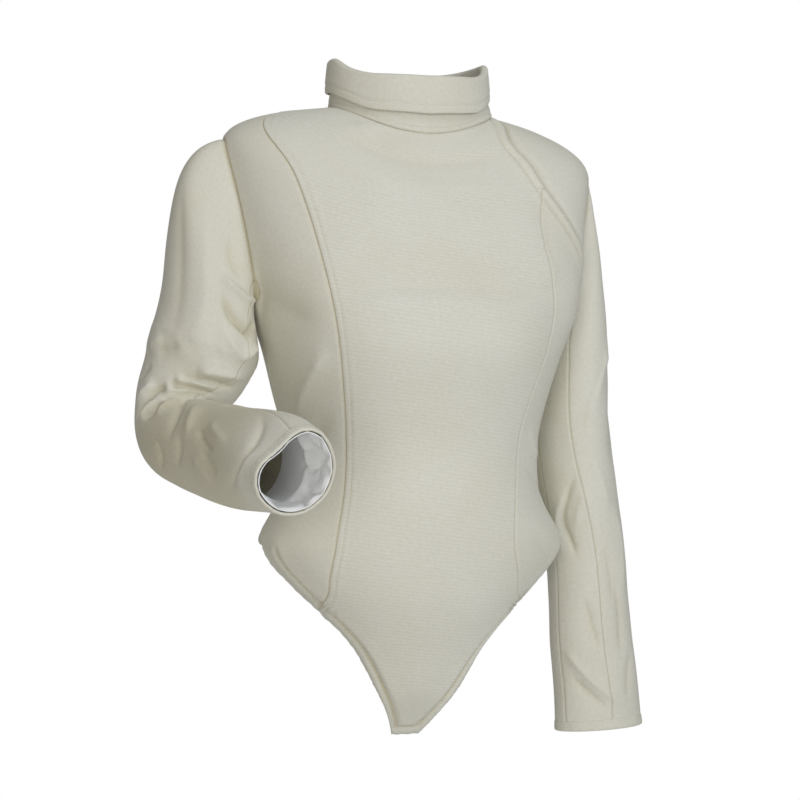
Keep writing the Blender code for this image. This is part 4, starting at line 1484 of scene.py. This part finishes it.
@dataclass
class CuffLining:
    """The white lining that shows inside the open right cuff.

    Attributes:
        sleeve: the sleeve it lines.
        material: its finish.
        inset: millimetres between it and the sleeve's form.
        slack: how much further in it hangs beyond the rim.
        wall: millimetres of cloth.
        reach: steps from the rim to its inner and outer end.
        deepest: furthest in and furthest out that its folds may go.
        creases: its folds.
    """

    sleeve: Sleeve
    material: bpy.types.Material
    inset: float = 2.7
    slack: float = 3.4
    wall: float = 0.8
    reach: tuple[float, float] = (1.8, 0.03)
    deepest: tuple[float, float] = (-14.0, 0.3)
    creases: tuple[Crease, ...] = (
        Crease(((104, 7.0), (112, 6.6), (108, 6.1), (118, 5.6)), 3.4, 4.5, (0.05, 0.3)),
        Crease(((128, 7.0), (140, 6.6), (134, 6.2), (146, 5.8)), 4.4, 4.0, (0.05, 0.3)),
        Crease(((150, 6.75), (140, 6.5), (122, 6.35)), 3.2, 3.5, (0.2, 0.3)),
        Crease(((154, 7.0), (164, 6.7), (158, 6.3), (170, 5.8)), 4.2, 4.5, (0.05, 0.3)),
        Crease(((184, 7.0), (176, 6.6), (188, 6.2), (182, 5.7)), 4.6, 4.5, (0.05, 0.3)),
        Crease(((200, 6.7), (188, 6.45), (172, 6.5)), 3.0, 3.5, (0.2, 0.3)),
        Crease(((210, 7.0), (220, 6.6), (212, 6.1)), 4.0, 4.5, (0.05, 0.3)),
        Crease(((246, 7.0), (238, 6.5), (250, 5.9)), 3.6, 5.0, (0.05, 0.3)),
        Crease(((290, 7.0), (300, 6.4), (288, 5.7)), 3.4, 5.5, (0.05, 0.3)),
        Crease(((338, 7.0), (330, 6.4), (342, 5.7)), 3.4, 5.5, (0.05, 0.3)),
        Crease(((30, 7.0), (22, 6.4), (34, 5.7)), 3.0, 5.5, (0.05, 0.3)),
        Crease(((70, 7.0), (78, 6.5), (70, 5.9)), 3.0, 5.0, (0.05, 0.3)),
        Crease(((330, 6.2), (0, 5.8), (30, 5.6)), -9.0, 13.0),
        Crease(((250, 5.9), (280, 5.7), (310, 5.6)), -8.0, 13.0),
        Crease(((70, 5.9), (100, 5.7), (140, 5.6)), -8.0, 13.0),
    )

    def build(self) -> None:
        """Makes the lining, a slack tube inside the cuff."""
        form = self.sleeve.form
        turns = np.linspace(0, 360, 160, endpoint=False)
        steps = np.linspace(form.last - self.reach[0], form.last - self.reach[1], 80)
        turn, step = np.meshgrid(turns, steps)
        tube, normal = self.sleeve.tube(turn, step)
        slack = Cloth(form.arm, -form.side, -1.0, form.last, list(self.creases), 0.5)
        rise = (slack.relief(tube) - self.slack) * ease((form.last - step) / 0.14)
        rise = np.clip(rise, *self.deepest)
        outer = tube + normal * (rise - self.inset)[..., None]
        inner = outer - normal * self.wall
        piece = make_wall("cuff_lining_right_cloth", outer[:, ::-form.side], inner[:, ::-form.side],
                          ring=True)
        dress(piece, self.material, "cuff_lining_right")


# ------------------------------------------------------------------ the neck
@dataclass
class Neck:
    """The neckband and the collar that turns over it.

    Attributes:
        body: the body's form, whose first section is the neck seam.
        finishes: the materials.
        stitching: where its stitches are kept.
        heights: the collar's lower and top edge round the neck, front to back.
        band_under_leaf: how far the band runs up beneath the collar's leaf.
        band_free_end: degrees at which the band's free end lies.
        band_lap: degrees by which it laps over its other end.
        band_foot_out: how far the band's foot stands out from the neck seam.
        band_flare: how much further the free end's foot stands out.
        band_sinks: how far the covered end sinks beneath it.
        band_leans_in: how far the band leans in at its top.
        band_wall: millimetres of band, two layers of cloth.
        band_drop: how far the band's foot reaches below the neck seam.
        band_flare_fades: degrees from the free end over which its flare fades.
        band_sink_fades: degrees over which the covered end comes up again.
        band_stitch: millimetres from the band's foot to its topstitching.
        leaf_in: the inner leaf's distance from the neck seam.
        leaf_out: the outer leaf's distance from it.
        leaf_flare: how much further the outer leaf's lower edge stands out.
        leaf_room: how far the inner leaf's foot stays above the band.
        leaf_wall: millimetres of leaf, two layers of cloth.
        leaf_stitch: millimetres from the leaf's lower edge to its topstitching.
        slit: degrees at which the collar opens.
    """

    body: BodyForm
    finishes: Finishes
    stitching: Stitching
    heights: Table = Table(("angle", "lower_z", "top_z"), {
        "front": (0, -9, 29), "near front": (40, -5, 31), "turn": (62, 6, 38),
        "side": (85, 16, 51), "behind": (130, 19, 46), "back": (180, 20, 43)})
    band_under_leaf: float = 8.0
    band_free_end: float = 80.0
    band_lap: float = 14.0
    band_foot_out: float = 2.0
    band_flare: float = 4.5
    band_sinks: float = 2.6
    band_leans_in: float = 0.3
    band_wall: float = 1.6
    band_drop: float = 0.4
    band_flare_fades: float = 60.0
    band_sink_fades: float = 25.0
    band_stitch: float = 5.0
    leaf_in: float = -4.6
    leaf_out: float = 3.2
    leaf_flare: float = 1.4
    leaf_room: float = 1.2
    leaf_wall: float = 1.8
    leaf_stitch: float = 7.9
    slit: float = 92.0

    def point(self, angle: Array, out: Array, z: Array) -> Array:
        """Points round the neck.

        Args:
            angle: degrees round it, 0 at the front.
            out: millimetres out from the neck seam.
            z: their heights.

        Returns:
            The points, in millimetres.
        """
        half_width, centre_y, front, back = self.body.sections.rows["neck"][3:7]
        turn = np.radians(angle)
        depth = np.where(np.cos(turn) > 0, front, back)
        x = (half_width + out) * np.sin(turn)
        y = centre_y - (depth + out) * np.cos(turn)
        return np.stack(np.broadcast_arrays(x, y, z), axis=-1)

    def height(self, name: str, angle: Array) -> Array:
        """Height of the collar's lower or top edge."""
        around = np.abs((angle + 180) % 360 - 180)
        stations = np.interp(around, self.heights.column("angle"), np.arange(len(self.heights.rows)))
        return self.heights.at(name, stations)

    def build(self) -> None:
        """Makes the band and the collar."""
        self.build_band()
        self.build_collar()

    def build_band(self) -> None:
        """Makes the neckband, whose free end laps over its other end on the left."""
        angle = np.linspace(self.band_free_end - 360 - self.band_lap, self.band_free_end, 230)
        flare = self.band_flare * (1 - ease((self.band_free_end - angle) / self.band_flare_fades))
        sink = self.band_sinks * (1 - ease((angle - angle[0] - self.band_lap) / self.band_sink_fades))
        foot = self.body.point(angle, np.zeros_like(angle))[..., 2] - self.band_drop
        head = self.height("lower_z", angle) + self.band_under_leaf
        share = np.linspace(1, 0, 34)[:, None]
        rise = (head - foot) * share
        roll = Profile.BAND.height(rise)
        end = Profile.BAND_END.height(np.radians(self.band_free_end - angle) * 80)
        wave = 0.35 * np.sin(np.radians(angle) * 5 + 1) * np.sin(np.radians(angle) * 2)
        leans = (self.band_foot_out + flare) * (1 - share) - self.band_leans_in * share
        out = leans - sink + roll + end + wave
        z = foot + rise
        outer, inner = self.point(angle, out, z), self.point(angle, out - self.band_wall, z)
        # painted shade: the band's colour is darkened where its roll sinks low, most at its foot
        piece = make_wall("neckband_cloth", outer, inner, np.clip(0.4 - roll, 0, 1) * 0.12)
        dress(piece, self.finishes.plain, "neckband")
        row = int(np.argmin(np.abs(rise.mean(axis=1) - self.band_stitch)))
        self.stitching.sew("stitches_neck", outer[row], unit(outer[row] * np.array([1.0, 1.0, 0.0])))

    def build_collar(self) -> None:
        """Makes the collar: an inner leaf, a round fold and an outer leaf."""
        angle = np.linspace(self.slit + 0.5 - 360, self.slit - 0.5, 230)
        lower, top = self.height("lower_z", angle), self.height("top_z", angle)
        radius, middle = (self.leaf_out - self.leaf_in) / 2, (self.leaf_out + self.leaf_in) / 2
        wall = self.leaf_wall
        wave = 0.5 * np.sin(np.radians(angle) * 4 + 0.6) + 0.3 * np.sin(np.radians(angle) * 9)
        fold = top - radius
        foot = lower + self.band_under_leaf + self.leaf_room
        skins: list[tuple[Array, Array]] = []
        for share in np.linspace(0, 1, 12)[:-1]:
            z = foot + (fold - foot) * share
            skins.append((self.point(angle, self.leaf_in + wave * 0.3, z),
                          self.point(angle, self.leaf_in + wall + wave * 0.3, z)))
        for turn in np.linspace(math.pi, 0, 13):
            out, rise = math.cos(turn), math.sin(turn)
            skins.append((self.point(angle, middle + radius * out + wave * 0.4, fold + radius * rise),
                          self.point(angle, middle + (radius - wall) * out + wave * 0.4,
                                     fold + (radius - wall) * rise)))
        for share in np.linspace(0, 1, 40)[1:]:
            z = fold + (lower - fold) * share
            roll = Profile.LEAF.height(z - lower)
            belly = 0.9 * np.sin(math.pi * share)
            out = self.leaf_out + self.leaf_flare * share**1.5 + roll + belly + wave * 0.5
            skins.append((self.point(angle, out, z), self.point(angle, out - wall, z)))
        outer, inner = np.array([pair[0] for pair in skins]), np.array([pair[1] for pair in skins])
        piece = make_wall("collar_cloth", outer, inner)
        dress(piece, self.finishes.plain, "collar")
        leaf = outer[24:]
        place = np.argmin(np.abs(leaf[..., 2] - lower - self.leaf_stitch), axis=0)
        line = leaf[place, np.arange(len(angle))]
        self.stitching.sew("stitches_neck", line, unit(line * np.array([1.0, 1.0, 0.0])))


# ------------------------------------------------------------------ the studio
@dataclass
class Studio:
    """A pale floor, soft lights and the camera.

    Attributes:
        aim: the middle of the view, in metres.
        towards: the way from there to the camera.
        distance: metres between them.
        lens: millimetres of focal length.
        floor_z: the floor's height.
        floor_radius: half its width.
        world_light: strength of the light from all round.
        lights: each light's name, place, size in metres, watts and colour.
    """

    aim: tuple[float, float, float] = (-0.0086, 0.0028, -0.288)
    towards: tuple[float, float, float] = (-0.309, -0.951, 0.0)
    distance: float = 2.4
    lens: float = 108.0
    floor_z: float = -1.32
    floor_radius: float = 3.2
    world_light: float = 0.2
    lights: tuple[tuple[str, tuple[float, float, float], float, float, str], ...] = (
        ("Key", (0.9, -2.5, 0.6), 1.7, 27.5, "#F4F8FF"),
        ("Fill", (-1.3, -2.6, -0.5), 1.5, 19.5, "#FFFAF0"),
        ("Top", (-0.1, -0.9, 1.9), 1.2, 11, "#FFFFFF"),
        ("Back", (0.6, 2.3, 0.6), 1.6, 16, "#FFFFFF"),
    )

    def light(self, name: str, place: tuple[float, float, float], size: float, power: float,
              colour: str) -> None:
        """Adds one square soft light that faces the jacket.

        Args:
            name: the light's name.
            place: where it stands, in metres.
            size: its side, in metres.
            power: watts.
            colour: its colour.
        """
        lamp = bpy.data.lights.new(name, "AREA")
        lamp.shape, lamp.size, lamp.energy = "SQUARE", size, power
        lamp.color = linear(colour)[:3]
        stand = bpy.data.objects.new(name, lamp)
        bpy.context.scene.collection.objects.link(stand)
        from_aim = np.array(place) - np.array(self.aim)
        stand.location = place
        stand.rotation_mode = "QUATERNION"
        stand.rotation_quaternion = bpy_vector(from_aim).to_track_quat("Z", "Y")

    def build(self) -> None:
        """Sets up the camera, the lights, the floor and the backdrop."""
        scene = bpy.context.scene
        scene.view_settings.view_transform = "Standard"
        camera = bpy.data.objects.new("Camera", bpy.data.cameras.new("Camera"))
        scene.collection.objects.link(camera)
        scene.camera = camera
        camera.data.lens = self.lens
        away = bpy_vector(self.towards).normalized()
        camera.location = bpy_vector(self.aim) + away * self.distance
        camera.rotation_mode = "QUATERNION"
        camera.rotation_quaternion = away.to_track_quat("Z", "Y")
        for settings in self.lights:
            self.light(*settings)
        self.build_world()
        self.build_floor()

    def build_world(self) -> None:
        """White all round as a backdrop, and a softer white as light."""
        world = bpy.data.worlds.new("Studio")
        bpy.context.scene.world = world
        world.use_nodes = True
        tree = world.node_tree
        seen = add(tree, "ShaderNodeLightPath")
        strength = add(tree, "ShaderNodeMapRange", {"Value": seen.outputs["Is Camera Ray"],
                                                    "To Min": self.world_light, "To Max": 1.0})
        background = tree.nodes["Background"]
        background.inputs["Color"].default_value = (1.0, 1.0, 1.0, 1.0)
        tree.links.new(strength.outputs[0], background.inputs["Strength"])

    def build_floor(self) -> None:
        """A round white floor, far enough below that the jacket casts no shadow in view."""
        steps = np.linspace(0, 2 * math.pi, 64, endpoint=False)
        radius = self.floor_radius
        rim = [(radius * math.cos(turn), radius * math.sin(turn), self.floor_z) for turn in steps]
        mesh = bpy.data.meshes.new("Floor")
        mesh.from_pydata(rim, [], [list(range(len(rim)))])
        floor = link("Floor", mesh)
        paper, shader = start_material("White studio paper")
        shader.inputs["Base Color"].default_value = linear("#F4F4F2")
        shader.inputs["Roughness"].default_value = 0.9
        floor.data.materials.append(paper)


def bpy_vector(values: Sequence[float]) -> mathutils.Vector:
    """Values as a Blender vector."""
    return mathutils.Vector(tuple(float(value) for value in values))


# ------------------------------------------------------------------ the jacket
ARM_COLUMNS = ("x", "y", "z", "across", "fore", "back")
RIGHT_ARM = Table(ARM_COLUMNS, {
    "biceps": (-208, 8, -236, 55, 54, 57),
    "above elbow": (-218, 9, -260, 52, 48, 54),
    "crook": (-235, 6, -288, 41, 36, 53),
    "elbow": (-239, -12, -315, 40, 34, 50),
    "below elbow": (-227, -52, -329, 44, 41, 46),
    "forearm": (-205, -120, -340, 44, 47, 49),
    "wrist": (-192, -195, -344, 40, 45, 45),
    "rim": (-185, -240, -353, 36, 37, 37),
})
LEFT_ARM = Table(ARM_COLUMNS, {
    "biceps": (182, 24, -240, 34, 58, 58),
    "above elbow": (182, 25, -300, 39, 55, 55),
    "crook": (184, 23, -350, 41, 51, 51),
    "elbow": (191, 18, -400, 40, 47, 47),
    "below elbow": (197, 14, -460, 40, 42, 42),
    "forearm": (200, 10, -530, 43, 37, 37),
    "wrist": (205, 7, -585, 45, 34, 34),
    "rim": (207, 6, -624, 46, 32, 32),
})
RIGHT_CREASES = (
    # the crook of the elbow: the upper arm sags over the forearm
    Crease(((150, 0.5), (120, 0.7), (98, 0.95), (84, 1.25)), 6.0, 9, (0.35, 0.25)),
    Crease(((140, 0.95), (112, 1.15), (92, 1.4), (76, 1.75)), -5.5, 5, (0.3, 0.15)),
    Crease(((68, 1.8), (92, 1.55), (118, 1.3)), 4.6, 4, (0.15, 0.35)),
    Crease(((66, 2.0), (92, 1.85), (130, 1.4)), -5.0, 4, (0.15, 0.35)),
    Crease(((60, 2.25), (84, 2.2), (112, 1.75)), 3.6, 4.5, (0.2, 0.3)),
    Crease(((2, 2.85), (20, 2.68), (36, 2.5), (50, 2.2), (66, 2.1)), -7.0, 5, (0.3, 0.15)),
    Crease(((2, 2.4), (26, 2.2), (46, 1.95)), 4.6, 7, (0.5, 0.3)),
    Crease(((-4, 2.0), (14, 1.75), (30, 1.6)), -3.2, 6, (0.4, 0.4)),
    Crease(((22, 3.1), (40, 3.15), (60, 2.95)), -4.2, 4),
    Crease(((12, 3.0), (34, 2.85), (60, 2.6)), 4.4, 5),
    Crease(((60, 2.95), (84, 2.55), (112, 1.95)), -4.6, 5, (0.2, 0.3)),
    Crease(((34, 3.5), (62, 3.3), (96, 2.6)), 4.8, 8),
    Crease(((10, 4.25), (36, 4.12), (60, 3.9), (84, 3.35), (104, 2.7)), -6.0, 6, (0.3, 0.3)),
    Crease(((16, 4.7), (46, 4.5), (80, 4.1)), 4.6, 9, (0.4, 0.4)),
    # the forearm
    Crease(((34, 4.8), (20, 5.1), (6, 5.5)), -4.6, 4.5),
    Crease(((46, 5.0), (32, 5.35), (20, 5.75)), 3.4, 6),
    Crease(((10, 5.05), (-4, 5.35), (-16, 5.55)), -4.0, 4.5),
    Crease(((0, 4.85), (-12, 5.1), (-24, 5.35)), 3.0, 6),
    Crease(((8, 3.85), (-12, 3.98), (-34, 3.85)), -3.6, 5),
    Crease(((26, 4.4), (4, 4.52), (-18, 4.45)), -3.4, 5),
    Crease(((-40, 5.6), (-10, 6.15), (22, 6.38), (58, 6.2), (84, 5.7)), -3.6, 6, (0.25, 0.3)),
    Crease(((-30, 5.9), (0, 6.4), (36, 6.55)), 2.4, 6),
    Crease(((74, 4.6), (94, 5.0), (106, 5.6)), -2.8, 8),
    Crease(((104, 3.4), (120, 3.9), (126, 4.5)), 2.2, 8),
    # the pouch before the armpit
    Crease(((86, -0.45), (100, -0.5), (122, -0.62), (146, -0.88)), 6.5, 6, (0.25, 0.15)),
    Crease(((86, -0.38), (104, -0.28), (124, -0.3), (150, -0.6)), -8.0, 6, (0.25, 0.1)),
    Crease(((90, -0.18), (118, -0.02), (150, -0.32)), 5.0, 7, (0.3, 0.2)),
    Crease(((80, -0.3), (90, 0.1), (96, 0.6)), -1.6, 6),
    Crease(((92, -0.85), (104, -0.7), (122, -0.82)), -3.0, 6),
    # the upper arm
    Crease(((20, -0.7), (34, -0.35), (40, 0.1)), -3.0, 13),
    Crease(((64, -0.8), (70, -0.4), (60, 0.2)), 2.6, 13),
    Crease(((54, 0.3), (42, 0.8), (26, 1.2)), -3.4, 8),
    Crease(((30, 0.2), (20, 0.7), (8, 1.1)), 2.6, 9),
    # the sides turned away
    Crease(((196, 0.9), (214, 1.5), (240, 1.7)), -4.4, 8),
    Crease(((206, 2.3), (232, 2.5), (262, 2.3)), 3.4, 9),
    Crease(((210, 1.9), (236, 2.05), (262, 1.9)), -3.8, 6),
    Crease(((330, 1.5), (304, 1.9), (280, 1.8)), -2.8, 10),
    Crease(((322, 3.3), (296, 3.1), (266, 3.3)), -3.2, 8),
    Crease(((200, 4.1), (226, 4.4), (250, 4.3)), -3.0, 8),
    Crease(((214, 5.3), (240, 5.6), (262, 5.5)), 2.4, 8),
    Crease(((280, -0.5), (268, 0.0), (262, 0.6)), -3.0, 13),
)
LEFT_CREASES = (
    Crease(((40, -0.15), (58, 0.15), (76, 0.6), (102, 1.45)), 4.6, 9, (0.3, 0.35)),
    Crease(((54, -0.05), (84, 0.75), (110, 1.65)), -3.6, 7, (0.3, 0.35)),
    Crease(((24, 0.4), (34, 1.4), (48, 2.4)), -2.6, 13),
    Crease(((88, 1.8), (76, 2.6), (68, 3.2)), 2.4, 10),
    Crease(((110, 2.3), (130, 2.7), (142, 3.15), (134, 3.5), (126, 3.85)), -4.4, 5, (0.25, 0.25)),
    Crease(((100, 2.6), (116, 3.0), (126, 3.4)), 3.0, 6),
    Crease(((126, 2.5), (152, 3.2), (148, 3.8)), 3.0, 6),
    Crease(((58, 2.9), (48, 3.7), (54, 4.6)), 2.4, 11),
    Crease(((70, 4.0), (62, 4.8), (66, 5.5)), -2.6, 7),
    Crease(((86, 3.6), (76, 4.1), (72, 4.6)), -2.2, 6),
    Crease(((152, 5.15), (134, 5.4), (118, 5.68), (84, 6.22), (50, 6.75)), 3.0, 6, (0.2, 0.3)),
    Crease(((144, 5.6), (118, 6.0), (88, 6.5)), -3.4, 6),
    Crease(((38, 5.2), (56, 5.8), (60, 6.4)), -2.4, 8),
    Crease(((120, 4.35), (108, 4.85), (98, 5.3)), -2.8, 6),
    # the sides turned away
    Crease(((240, 0.3), (262, 1.2), (258, 2.1)), -3.2, 11),
    Crease(((300, 0.9), (316, 1.7), (312, 2.5)), 2.6, 11),
    Crease(((214, 2.8), (240, 3.3), (262, 3.2)), -3.6, 8),
    Crease(((206, 3.5), (232, 4.0), (254, 3.9)), 3.0, 9),
    Crease(((290, 4.5), (272, 5.1), (264, 5.8)), -2.4, 9),
)
RIGHT_RIM = ((0, 1.04), (22, 0.9), (48, 0.74), (74, 0.86), (94, 1.06), (116, 1.18), (150, 1.12), (190, 1.08),
             (240, 1.03), (300, 1.02), (340, 1.05), (360, 1.04))


def main() -> None:
    """Builds the jacket's sub-assemblies in order, then the studio."""
    logging.basicConfig(level=logging.INFO, format="%(message)s")
    finishes, stitching, body = Finishes(), Stitching(), BodyForm()
    right = Sleeve("right", SleeveForm(body, -1, RIGHT_ARM, 1.6, 1.1, rim_shape=RIGHT_RIM), finishes,
                   stitching, RIGHT_CREASES, painted_darkening=0.4)
    left = Sleeve("left", SleeveForm(body, 1, LEFT_ARM, 0.0, 1.0), finishes, stitching, LEFT_CREASES)
    Torso(body, finishes, stitching).build()
    right.build()
    left.build()
    CuffLining(right, finishes.lining).build()
    Neck(body, finishes, stitching).build()
    stitching.build(finishes.thread)
    Studio().build()


if __name__ == "__main__":
    main()
